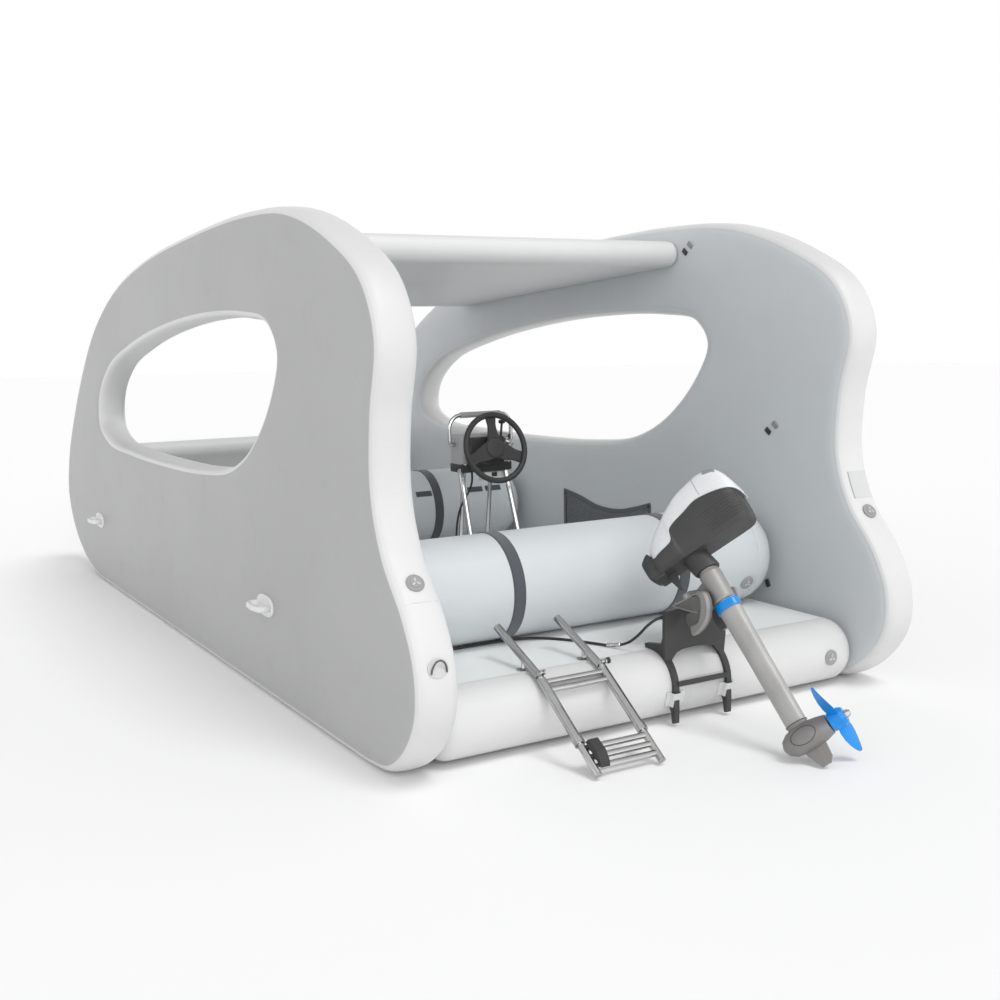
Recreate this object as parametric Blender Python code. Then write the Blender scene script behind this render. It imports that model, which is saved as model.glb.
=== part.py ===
"""Inflatable houseboat: two drop-stitch side walls with window holes, an inflatable deck, a roof
panel, a bow panel and two bench tubes, with a helm console, a tilted electric outboard on a stern
bracket and a folding, telescoping boarding ladder.

Units are metres. +X is starboard, +Y the bow, +Z up. The pieces are placed from the hull's own
datum: X = 0 on the centre line, Y = 0 at the sternmost seam of the side walls, Z = 0 on the ground.
At the end everything moves together along Y, so that the origin is under the middle of the boat.
"""
import math

import bmesh
import bpy
from mathutils import Matrix, Vector

# Driving dimensions of the hull
BEAM = 2.14                  # across the outer seams of the two side walls
WALL_THICKNESS = 0.14        # a side wall, seam to seam
FACE_SWELL = 0.008           # how far a wall's faces swell past its seams
BAND_BULGE = 0.022           # how far a wall's edge band swells past its two seams
WINDOW_BULGE = 0.024         # the same, into the window hole
CONTACT = 0.0003             # gap left between two pieces that touch

DECK_TOP = 0.255
DECK_BOTTOM = 0.012
DECK_STERN = 0.130           # sternmost point of the deck's round edge
DECK_BOW = 4.36              # foremost point of the deck's round edge

ROOF_THICKNESS = 0.115
ROOF_STERN = 1.235           # sternmost point of the roof's round edge
ROOF_BOW = 3.245
ROOF_STERN_UNDERSIDE = 1.672
ROOF_BOW_UNDERSIDE = 1.543

BENCH_RADIUS = 0.20
AFT_BENCH_Y = 0.72
FORWARD_BENCH_Y = 2.72
BENCH_DOME = 0.15            # length of a bench tube's domed end

BOW_PANEL_THICKNESS = 0.12
BOW_PANEL_FOOT = (4.43, 0.325)
BOW_PANEL_HEAD = (4.13, 0.715)

# Helm console
CONSOLE_X = 0.20
CONSOLE_WIDTH = 0.27
WHEEL_CENTRE = (0.183, 1.645, 0.868)
WHEEL_RADIUS = 0.165
WHEEL_RIM_RADIUS = 0.013
WHEEL_RAKE = math.radians(15)

# Outboard motor, in its own upright frame: origin on the tilt pin
MOTOR_X = 0.135
TILT_PIN_Y = 0.135
TILT_PIN_Z = 0.462
TILT = math.radians(45.5)
STEER = math.radians(35)     # how far the motor is turned at rest
LEG_Y = -0.094
POD_Z = -0.641
PROPELLER_RADIUS = 0.140

# Boarding ladder
LADDER_X = -0.395
LADDER_WIDTH = 0.25
LADDER_PIVOT = (0.1612, 0.2742)
LADDER_DROP = 0.024          # the tubes run this far below the hinge pins
LADDER_SLOPE = math.radians(35)
HANDLE_SLOPE = math.radians(23)
RAIL_RADIUS = 0.016
FOOT_RADIUS = 0.0125

# Steering cable, from the gland on the motor's clamp to the gland under the console's box
CABLE_RADIUS = 0.005
CABLE_STEP = 0.038
CABLE_GLAND = (0.060, 0.185, 0.387)
CABLE_ROUTE = (
    (0.0470, 0.185, 0.387), (0.0090, 0.185, 0.387), (-0.021, 0.189, 0.381),
    (-0.047, 0.206, 0.358), (-0.063, 0.236, 0.321), (-0.076, 0.280, 0.286),
    (-0.096, 0.340, 0.2650), (-0.130, 0.425, 0.2606), (-0.180, 0.520, 0.2605),
    (-0.245, 0.595, 0.2605), (-0.330, 0.634, 0.2605), (-0.450, 0.642, 0.2605),
    (-0.600, 0.641, 0.2605), (-0.720, 0.638, 0.2605), (-0.782, 0.648, 0.2605),
    (-0.825, 0.682, 0.2605), (-0.845, 0.740, 0.2605), (-0.847, 0.810, 0.2605),
    (-0.832, 0.890, 0.2605), (-0.780, 0.985, 0.2605), (-0.660, 1.115, 0.2605),
    (-0.510, 1.270, 0.2605), (-0.360, 1.440, 0.2605), (-0.220, 1.610, 0.2605),
    (-0.110, 1.745, 0.2606), (-0.020, 1.840, 0.2610), (0.038, 1.882, 0.2680),
    (0.078, 1.894, 0.300), (0.098, 1.892, 0.350), (0.104, 1.885, 0.420), (0.105, 1.872, 0.500),
    (0.108, 1.852, 0.560), (0.118, 1.828, 0.610), (0.134, 1.810, 0.650), (0.146, 1.802, 0.685),
    (0.150, 1.800, 0.712), (0.150, 1.800, 0.7502),
)

HALF_BEAM = BEAM / 2
WALL_INNER = HALF_BEAM - WALL_THICKNESS - FACE_SWELL
WALL_OUTER = HALF_BEAM + FACE_SWELL

# Side wall outline through the seam, as (Y, Z): from the front of the flat keel line round the
# bow, over the top and down the stern to the back of the keel line
WALL_SEAM = (
    (3.70, 0.022), (4.14, 0.034), (4.46, 0.108), (4.70, 0.255), (4.795, 0.440),
    (4.72, 0.670), (4.50, 0.930), (4.20, 1.200), (3.87, 1.425), (3.40, 1.615),
    (2.80, 1.738), (2.00, 1.812), (1.30, 1.838), (0.90, 1.812), (0.55, 1.705),
    (0.30, 1.560), (0.213, 1.380), (0.262, 1.140), (0.272, 0.900), (0.205, 0.710),
    (0.075, 0.545), (0.006, 0.400), (0.008, 0.250), (0.088, 0.125), (0.210, 0.042),
    (0.36, 0.022),
)

# Window seam, as (Y, Z), counter-clockwise seen from starboard
WINDOW_SEAM = (
    (1.04, 1.33), (1.12, 1.17), (1.33, 0.98), (1.60, 0.860), (2.00, 0.812),
    (2.60, 0.795), (3.20, 0.800), (3.66, 0.828), (3.85, 0.920), (3.82, 1.070),
    (3.58, 1.235), (3.10, 1.357), (2.50, 1.445), (1.90, 1.488), (1.40, 1.485),
    (1.13, 1.445),
)

COLOURS = {
    "wall_fabric": ((0.62, 0.63, 0.64), 0.55, 0.0),
    "deck_fabric": ((0.70, 0.72, 0.72), 0.60, 0.0),
    "bench_fabric": ((0.72, 0.74, 0.76), 0.55, 0.0),
    "dark_webbing": ((0.07, 0.08, 0.10), 0.90, 0.0),
    "white_plastic": ((0.80, 0.80, 0.80), 0.45, 0.0),
    "grey_plastic": ((0.35, 0.36, 0.37), 0.50, 0.0),
    "black_plastic": ((0.03, 0.03, 0.03), 0.50, 0.0),
    "black_metal": ((0.025, 0.025, 0.028), 0.45, 0.4),
    "stainless": ((0.65, 0.65, 0.66), 0.22, 1.0),
    "cast_metal": ((0.40, 0.39, 0.37), 0.45, 0.9),
    "anodised": ((0.42, 0.41, 0.40), 0.38, 0.8),
    "cowl_white": ((0.82, 0.83, 0.84), 0.30, 0.0),
    "propeller_blue": ((0.01, 0.25, 0.82), 0.35, 0.0),
    "mesh_black": ((0.03, 0.03, 0.03), 0.85, 0.0),
}


def clear_scene():
    for old in list(bpy.data.objects):
        bpy.data.objects.remove(old, do_unlink=True)


def make_materials():
    made = {}
    for name, (colour, roughness, metallic) in COLOURS.items():
        material = bpy.data.materials.new(name)
        material.use_nodes = True
        shader = material.node_tree.nodes["Principled BSDF"]
        shader.inputs["Base Color"].default_value = (*colour, 1.0)
        shader.inputs["Roughness"].default_value = roughness
        shader.inputs["Metallic"].default_value = metallic
        made[name] = material
    return made


def add_object(name, mesh, material, parent=None):
    obj = bpy.data.objects.new(name, mesh)
    bpy.context.scene.collection.objects.link(obj)
    mesh.materials.clear()
    mesh.materials.append(MATERIALS[material])
    obj.parent = parent
    return obj


def add_empty(name, location, rotation=(0, 0, 0), parent=None):
    empty = bpy.data.objects.new(name, None)
    bpy.context.scene.collection.objects.link(empty)
    empty.location = location
    empty.rotation_euler = rotation
    empty.parent = parent
    return empty


def smooth(mesh, angle=35):
    mesh.shade_smooth()
    mesh.set_sharp_from_angle(angle=math.radians(angle))
    return mesh


def loft(name, rings):
    """A closed skin over rings of the same number of points, with flat ends."""
    count = len(rings[0])
    vertices = [tuple(point) for ring in rings for point in ring]
    faces = []
    for level in range(len(rings) - 1):
        low = level * count
        high = low + count
        for i in range(count):
            j = (i + 1) % count
            faces.append((low + i, low + j, high + j, high + i))
    faces.append(tuple(range(count))[::-1])
    faces.append(tuple(range(len(vertices) - count, len(vertices))))
    mesh = bpy.data.meshes.new(name)
    mesh.from_pydata(vertices, [], faces)
    bm = bmesh.new()
    bm.from_mesh(mesh)
    bmesh.ops.recalc_face_normals(bm, faces=bm.faces)
    bm.to_mesh(mesh)
    bm.free()
    return smooth(mesh)


def curve_through(points, per_span, closed):
    """Centripetal Catmull-Rom curve through points, per_span steps to each span."""
    points = [Vector(point) for point in points]
    count = len(points)
    spans = count if closed else count - 1
    made = []
    for i in range(spans):
        if closed:
            p = [points[(i + k) % count] for k in (-1, 0, 1, 2)]
        else:
            first = points[i - 1] if i else 2 * points[0] - points[1]
            last = points[i + 2] if i + 2 < count else 2 * points[-1] - points[-2]
            p = [first, points[i], points[i + 1], last]
        t = [0.0]
        for a, b in zip(p, p[1:]):
            t.append(t[-1] + math.sqrt((b - a).length))
        for step in range(per_span):
            u = t[1] + (t[2] - t[1]) * step / per_span
            a1 = p[0].lerp(p[1], (u - t[0]) / (t[1] - t[0]))
            a2 = p[1].lerp(p[2], (u - t[1]) / (t[2] - t[1]))
            a3 = p[2].lerp(p[3], (u - t[2]) / (t[3] - t[2]))
            b1 = a1.lerp(a2, (u - t[0]) / (t[2] - t[0]))
            b2 = a2.lerp(a3, (u - t[1]) / (t[3] - t[1]))
            made.append(b1.lerp(b2, (u - t[1]) / (t[2] - t[1])))
    if not closed:
        made.append(points[-1])
    return made


def offset(outline, distance):
    """Moves a closed counter-clockwise 2-D outline outwards along its normals."""
    count = len(outline)
    moved = []
    for i, point in enumerate(outline):
        along = outline[(i + 1) % count] - outline[i - 1]
        normal = Vector((along.y, -along.x)).normalized()
        moved.append(point + normal * distance)
    return moved


def wall_ring(outline, x):
    return [(x, point.x, point.y) for point in outline]


def wall_mesh(name, seam, bulge, reach=0.0):
    """A wall, or the plug that cuts its window: soft faces, two seams and a swollen band.

    bulge is positive for the wall's own edge and negative for the plug of a window."""
    half = WALL_THICKNESS / 2
    sense = 1 if bulge > 0 else -1
    steps = [(half + FACE_SWELL, -sense * 0.045), (half, 0.0), (half * 0.90, bulge * 0.45),
             (half * 0.68, bulge * 0.80), (half * 0.36, bulge * 0.96)]
    steps = [(-x, grow) for x, grow in steps] + [(0.0, bulge)] + steps[::-1]
    if reach:
        steps = [(-half - reach, steps[0][1])] + steps + [(half + reach, steps[-1][1])]
    return loft(name, [wall_ring(offset(seam, grow), x) for x, grow in steps])


def cut(target, cutter_mesh, matrix=None):
    cutter = bpy.data.objects.new(target.name + "_cutter", cutter_mesh)
    bpy.context.scene.collection.objects.link(cutter)
    if matrix is not None:
        cutter.matrix_world = matrix
    cutter.hide_render = True
    cutter.display_type = "WIRE"
    modifier = target.modifiers.new("cut", "BOOLEAN")
    modifier.operation = "DIFFERENCE"
    modifier.object = cutter
    modifier.solver = "EXACT"
    cutter.parent = target.parent
    return cutter


def join(name, meshes):
    """Boolean union of several closed meshes, as one mesh."""
    objects = []
    for i, mesh in enumerate(meshes):
        obj = bpy.data.objects.new(name + "_piece", mesh)
        bpy.context.scene.collection.objects.link(obj)
        objects.append(obj)
        if i:
            modifier = objects[0].modifiers.new("union", "BOOLEAN")
            modifier.operation = "UNION"
            modifier.object = obj
            modifier.solver = "EXACT"
    bpy.context.view_layer.update()
    depsgraph = bpy.context.evaluated_depsgraph_get()
    result = bpy.data.meshes.new_from_object(objects[0].evaluated_get(depsgraph))
    for obj in objects:
        bpy.data.objects.remove(obj, do_unlink=True)
    result.name = name
    return smooth(result)


def turned(name, profile, segments=24, matrix=None):
    """A solid of revolution about Z through (radius, height) points, top and bottom capped."""
    rings = []
    for radius, height in profile:
        ring = []
        for i in range(segments):
            angle = 2 * math.pi * i / segments
            ring.append(Vector((radius * math.cos(angle), radius * math.sin(angle), height)))
        rings.append(ring)
    mesh = loft(name, rings)
    if matrix is not None:
        mesh.transform(matrix)
    return mesh


def along(start, direction):
    """Matrix that puts local Z along a direction, from a start point."""
    turn = Vector(direction).to_track_quat("Z", "Y").to_matrix().to_4x4()
    return Matrix.Translation(Vector(start)) @ turn


def rod(name, start, end, radius, segments=16):
    start = Vector(start)
    end = Vector(end)
    profile = ((radius, 0.0), (radius, (end - start).length))
    return turned(name, profile, segments, along(start, end - start))


def swept(name, points, radius, segments=12):
    """A round tube along 3-D points, capped at both ends."""
    points = [Vector(point) for point in points]
    tangents = []
    for i in range(len(points)):
        before = points[max(i - 1, 0)]
        after = points[min(i + 1, len(points) - 1)]
        tangents.append((after - before).normalized())
    side = tangents[0].orthogonal().normalized()
    rings = []
    for point, tangent in zip(points, tangents):
        side = (side - tangent * side.dot(tangent)).normalized()
        other = tangent.cross(side)
        ring = []
        for i in range(segments):
            angle = 2 * math.pi * i / segments
            ring.append(point + radius * (math.cos(angle) * side + math.sin(angle) * other))
        rings.append(ring)
    return loft(name, rings)


def arc(centre, radius, start, end, steps):
    """2-D points on an arc, angles in degrees."""
    made = []
    for i in range(steps + 1):
        angle = math.radians(start + (end - start) * i / steps)
        made.append(Vector((centre[0] + radius * math.cos(angle),
                            centre[1] + radius * math.sin(angle))))
    return made


def slab(name, outline, x_low, x_high):
    """A (Y, Z) outline extruded along X."""
    return loft(name, [[(x, point[0], point[1]) for point in outline] for x in (x_low, x_high)])


def block(name, low, high, bevel=0.0):
    corners = [(x, y, z) for x in (low[0], high[0]) for y in (low[1], high[1])
               for z in (low[2], high[2])]
    mesh = bpy.data.meshes.new(name)
    bm = bmesh.new()
    for corner in corners:
        bm.verts.new(corner)
    bmesh.ops.convex_hull(bm, input=bm.verts)
    bmesh.ops.dissolve_limit(bm, angle_limit=0.01, verts=bm.verts, edges=bm.edges)
    if bevel:
        bmesh.ops.bevel(bm, geom=bm.edges, offset=bevel, segments=2, profile=0.5,
                        affect="EDGES")
    bmesh.ops.recalc_face_normals(bm, faces=bm.faces)
    bm.to_mesh(mesh)
    bm.free()
    return smooth(mesh)


def make_walls(hull):
    seam = curve_through(WALL_SEAM, 4, closed=False)
    window = curve_through(WINDOW_SEAM, 3, closed=True)
    centre = HALF_BEAM - WALL_THICKNESS / 2
    for name, side in (("port_wall", -1), ("starboard_wall", 1)):
        mesh = wall_mesh(name, seam, BAND_BULGE)
        wall = add_object(name, mesh, "wall_fabric", hull)
        wall.location.x = side * centre
        plug = wall_mesh(name + "_window", window, -WINDOW_BULGE, 0.05)
        cutter = cut(wall, plug)
        cutter.location.x = side * centre


def make_panels(hull):
    """Deck, roof and bow panel: flat inflated boards with round edges, between the walls."""
    side = WALL_INNER - CONTACT
    radius = (DECK_TOP - DECK_BOTTOM) / 2
    middle = (DECK_TOP + DECK_BOTTOM) / 2
    deck = arc((DECK_STERN + radius, middle), radius, 90, 270, 12)
    deck += arc((DECK_BOW - radius, middle), radius, -90, 90, 12)
    ends = ((side, -0.075), (side - 0.010, -0.045), (side - 0.032, -0.016), (side - 0.068, 0.0))
    stations = [(-x, grow) for x, grow in ends] + list(ends[::-1])
    mesh = loft("deck", [wall_ring(offset(deck, grow), x) for x, grow in stations])
    add_object("deck", mesh, "deck_fabric", hull)

    half = ROOF_THICKNESS / 2
    stern = Vector((ROOF_STERN + half, ROOF_STERN_UNDERSIDE + half))
    bow = Vector((ROOF_BOW - half, ROOF_BOW_UNDERSIDE + half))
    slope = math.degrees(math.atan2(bow.y - stern.y, bow.x - stern.x))
    roof = arc(stern, half, 90 + slope, 270 + slope, 10)
    roof += arc(bow, half, -90 + slope, 90 + slope, 10)
    add_object("roof", slab("roof", roof, -side, side), "wall_fabric", hull)

    half = BOW_PANEL_THICKNESS / 2
    foot = Vector(BOW_PANEL_FOOT)
    head = Vector(BOW_PANEL_HEAD)
    slope = math.degrees(math.atan2(head.y - foot.y, head.x - foot.x))
    panel = arc(foot, half, 90 + slope, 270 + slope, 10)
    panel += arc(head, half, -90 + slope, 90 + slope, 10)
    add_object("bow_panel", slab("bow_panel", panel, -side, side), "wall_fabric", hull)


def make_benches(hull):
    end = WALL_INNER - CONTACT
    straight = end - BENCH_DOME
    centre_z = DECK_TOP + CONTACT + BENCH_RADIUS
    profile = []
    for i in range(1, 7):
        angle = math.pi / 2 * i / 6
        profile.append((BENCH_RADIUS * math.sin(angle), -straight - BENCH_DOME * math.cos(angle)))
    profile = [(0.04, -end)] + profile
    profile += [(radius, -height) for radius, height in reversed(profile)]
    for name, y in (("aft_bench", AFT_BENCH_Y), ("forward_bench", FORWARD_BENCH_Y)):
        matrix = along((0, y, centre_z), (1, 0, 0))
        mesh = turned(name, profile, 40, matrix)
        add_object(name, mesh, "bench_fabric", hull)


def make_bench_straps(hull):
    inner = BENCH_RADIUS + CONTACT
    outer = inner + 0.003
    centre_z = DECK_TOP + CONTACT + BENCH_RADIUS
    for name, y, x in (("aft_bench_strap_port", AFT_BENCH_Y, -0.380),
                       ("aft_bench_strap_starboard", AFT_BENCH_Y, 0.380),
                       ("forward_bench_strap_port", FORWARD_BENCH_Y, -0.355),
                       ("forward_bench_strap_starboard", FORWARD_BENCH_Y, 0.355)):
        outline = arc((y, centre_z), outer, -72, 252, 36)
        outline += arc((y, centre_z), inner, 252, -72, 36)
        add_object(name, slab(name, outline, x - 0.025, x + 0.025), "dark_webbing", hull)


def make_console(hull):
    """A tube stand on the deck, with a box, a hand rail round it, the helm unit and the wheel."""
    tube = 0.0125
    runner_z = DECK_TOP + CONTACT + tube
    top_z = 0.76
    pieces = []
    for side in (-1, 1):
        aft_foot = Vector((CONSOLE_X - 0.010 + side * 0.134, 1.60, runner_z))
        aft_top = Vector((CONSOLE_X - 0.010 + side * 0.120, 1.765, top_z))
        bow_foot = Vector((CONSOLE_X + side * 0.073, 1.90, runner_z))
        bow_top = Vector((CONSOLE_X + side * 0.073, 1.835, top_z))
        pieces.append(rod("leg", aft_foot, aft_top, tube))
        pieces.append(rod("leg", bow_foot, bow_top, tube * 0.8))
        reach = (bow_foot - aft_foot).normalized() * 0.03
        pieces.append(rod("runner", aft_foot - reach, bow_foot + reach, tube * 0.99))
        reach = (bow_top - aft_top).normalized() * 0.015
        pieces.append(rod("head", aft_top - reach, bow_top + reach, tube * 0.98))
    for y, z, x, half in ((1.765, top_z, CONSOLE_X - 0.010, 0.124),
                          (1.835, top_z, CONSOLE_X, 0.073),
                          (1.90, runner_z, CONSOLE_X, 0.073),
                          (1.60, runner_z, CONSOLE_X - 0.010, 0.134)):
        pieces.append(rod("cross", (x - half, y, z), (x + half, y, z), tube * 0.85))
    add_object("console_frame", join("console_frame", pieces), "stainless", hull)

    box_low = top_z + tube * 0.98 + CONTACT
    half = CONSOLE_WIDTH / 2
    housing = block("console_box", (CONSOLE_X - half, 1.745, box_low),
                    (CONSOLE_X + half, 1.855, 0.925), 0.012)
    cable_end = Vector(CABLE_ROUTE[-1]) + Vector((0, 0, CONTACT))
    gland = rod("gland", cable_end, cable_end + Vector((0, 0, 0.040)), CABLE_RADIUS + 0.003)
    add_object("console_box", join("console_box", [housing, gland]), "white_plastic", hull)

    rail_y = 1.800
    reach = half + 0.030
    rail = [Vector((-half - CONTACT, 0.880)), Vector((-half - 0.012, 0.880))]
    rail += [Vector((-reach + 0.018, 0.898)) + point for point in arc((0, 0), 0.018, 270, 180, 4)]
    rail += arc((-reach + 0.060, 0.955), 0.060, 180, 90, 8)
    points = [(CONSOLE_X + point.x, rail_y, point.y) for point in rail]
    points += [(CONSOLE_X - point.x, rail_y, point.y) for point in rail[::-1]]
    add_object("console_handrail", swept("console_handrail", points, 0.009), "stainless", hull)

    axis = Vector((0, -math.cos(WHEEL_RAKE), math.sin(WHEEL_RAKE)))
    wheel_centre = Vector(WHEEL_CENTRE)
    helm_face = wheel_centre - axis * 0.055
    helm = turned("helm_unit", ((0.055, 0.004), (0.062, 0.010), (0.062, 0.030), (0.040, 0.036)),
                  32, along(helm_face - axis * 0.036, axis))
    plate = block("helm_plate", (wheel_centre.x - 0.09, 1.705, 0.79),
                  (wheel_centre.x + 0.09, 1.7447, 0.915), 0.006)
    add_object("helm_unit", join("helm_unit", [plate, helm]), "black_plastic", hull)

    wheel = add_empty("steering_wheel_axis", WHEEL_CENTRE, parent=hull)
    wheel.rotation_mode = "QUATERNION"
    wheel.rotation_quaternion = axis.to_track_quat("Z", "Y")
    column = turned("steering_shaft", ((0.014, -0.055 + CONTACT), (0.014, -0.013)), 16)
    add_object("steering_shaft", column, "stainless", wheel)
    pieces = []
    rim = []
    for i in range(40):
        angle = 2 * math.pi * i / 40
        rim.append((WHEEL_RADIUS - WHEEL_RIM_RADIUS, angle))
    rim_mesh = bpy.data.meshes.new("rim")
    bm = bmesh.new()
    rings = []
    for radius, angle in rim:
        centre = Vector((radius * math.cos(angle), radius * math.sin(angle), 0.012))
        outward = Vector((math.cos(angle), math.sin(angle), 0))
        ring = []
        for k in range(10):
            turn = 2 * math.pi * k / 10
            ring.append(bm.verts.new(centre + WHEEL_RIM_RADIUS * (
                math.cos(turn) * outward + math.sin(turn) * Vector((0, 0, 1)))))
        rings.append(ring)
    for i, ring in enumerate(rings):
        following = rings[(i + 1) % len(rings)]
        for k in range(10):
            bm.faces.new((ring[k], following[k], following[(k + 1) % 10], ring[(k + 1) % 10]))
    bmesh.ops.recalc_face_normals(bm, faces=bm.faces)
    bm.to_mesh(rim_mesh)
    bm.free()
    pieces.append(rim_mesh)
    pieces.append(turned("hub", ((0.034, -0.013 + CONTACT), (0.046, -0.002), (0.042, 0.012)), 28))
    for angle, width in ((90, 0.017), (190, 0.022), (350, 0.022)):
        turn = math.radians(angle)
        spoke = block("spoke", (0.006, -width, -0.004), (WHEEL_RADIUS - 0.018, width, 0.004),
                      0.002)
        lift = Matrix.Translation(Vector((0, 0, 0.004))) @ Matrix.Rotation(turn, 4, "Z")
        lift = lift @ Matrix.Rotation(-math.radians(3), 4, "Y")
        spoke.transform(lift)
        pieces.append(spoke)
    add_object("steering_wheel", join("steering_wheel", pieces), "black_plastic", wheel)


def make_motor_bracket(hull):
    """Plate over the deck's stern edge, with two feet forward and two legs down the round edge."""
    plate_aft = 0.160
    plate_front = 0.174
    plate_top = 0.412
    foot_z = DECK_TOP + CONTACT
    arch = [(0.0, 0.268), (0.060, 0.266), (0.088, 0.256), (0.102, 0.240), (0.108, 0.2295),
            (0.133, 0.2295), (0.137, 0.262), (0.140, 0.290), (0.140, plate_top - 0.006),
            (0.134, plate_top), (0.0, plate_top)]
    arch += [(-x, z) for x, z in arch[-2:0:-1]]
    pieces = [loft("plate", [[(MOTOR_X + x, y, z) for x, z in arch]
                             for y in (plate_aft, plate_front)])]
    radius = (DECK_TOP - DECK_BOTTOM) / 2
    centre = (DECK_STERN + radius, (DECK_TOP + DECK_BOTTOM) / 2)
    clear = radius + 2 * CONTACT
    for side in (-1, 1):
        x = MOTOR_X + side * 0.120
        outline = [(0.285, foot_z), (0.288, foot_z + 0.016), (0.195, foot_z + 0.030),
                   (plate_front - 0.002, foot_z + 0.090), (plate_aft + 0.002, foot_z + 0.090)]
        outline = [Vector(point) for point in outline]
        outline += arc(centre, clear + 0.014, 132, 186, 8)
        outline += [Vector((0.114, 0.060)), Vector((0.116, 0.014)), Vector((0.130, 0.012)),
                    Vector((0.136, 0.050))]
        outline += arc(centre, clear, 210, 90, 8)
        pieces.append(slab("leg", outline, x - 0.011, x + 0.011))
    bar_y = centre[0] - clear - 0.011
    pieces.append(block("bar", (MOTOR_X - 0.115, bar_y - 0.006, 0.146),
                        (MOTOR_X + 0.115, bar_y + 0.004, 0.164), 0.002))
    add_object("motor_bracket", join("motor_bracket", pieces), "black_metal", hull)


def oval(width, length, y, z, count=28):
    """A flat ring of points about (0, y), width along X and length along Y, both half sizes."""
    ring = []
    for i in range(count):
        angle = 2 * math.pi * i / count
        ring.append(Vector((width * math.cos(angle), y + length * math.sin(angle), z)))
    return ring


def head_shell(name, stations, section):
    """A loft along Y. Each station is (y, seat half width, seat height, far half width, far
    height) and section places the ring's points between the seat and the far side."""
    rings = []
    for y, seat_width, seat_z, far_width, far_z in stations:
        half = []
        for across, up in section:
            width = seat_width + (far_width - seat_width) * across
            half.append((width, seat_z + (far_z - seat_z) * up))
        ring = [(x, y, z) for x, z in half]
        ring += [(-x, y, z) for x, z in half[::-1]]
        rings.append(ring)
    return loft(name, rings)


def make_motor_clamp(hull, pin):
    """Two ribbed cheeks hooked over the plate, each with a clamp screw, on the tilt pin."""
    jaw_aft = 0.160 - CONTACT - pin[1]
    jaw_front = 0.174 + CONTACT - pin[1]
    saddle = 0.412 + CONTACT - pin[2]
    cheek = [(jaw_aft, saddle - 0.080), (-0.020, -0.134), (-0.058, -0.124), (-0.092, -0.092),
             (-0.110, -0.050), (-0.112, -0.010), (-0.098, 0.018), (-0.066, 0.028),
             (-0.010, 0.018), (0.040, -0.012), (0.064, -0.036), (0.066, -0.070),
             (0.064, -0.116), (jaw_front, -0.122), (jaw_front, saddle), (jaw_aft, saddle)]
    cheek = [Vector(point) for point in cheek]
    pieces = []
    for side in (-1, 1):
        x = side * 0.060
        pieces.append(slab("cheek", cheek, x - 0.006, x + 0.006))
        pieces.append(rod("boss", (x, 0.060, -0.100), (x, 0.094, -0.100), 0.014))
        pieces.append(rod("screw", (x, 0.080, -0.100), (x, 0.128, -0.100), 0.006, 12))
        pieces.append(rod("handle", (x - 0.030, 0.124, -0.100), (x + 0.030, 0.124, -0.100),
                          0.0055, 12))
    gland = Vector(CABLE_GLAND) - Vector(pin)
    pieces.append(rod("gland", gland + Vector((0.011, 0, 0)), gland - Vector((0.0127, 0, 0)),
                      CABLE_RADIUS + 0.003, 16))
    pieces.append(rod("pin", (-0.075, 0, 0), (0.075, 0, 0), 0.008, 20))
    pieces.append(block("bridge", (-0.060, 0.056, -0.060), (0.060, 0.074, -0.034), 0.003))
    clamp = join("motor_clamp", pieces)
    clamp.transform(Matrix.Translation(Vector(pin)))
    add_object("motor_clamp", clamp, "cast_metal", hull)


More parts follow.
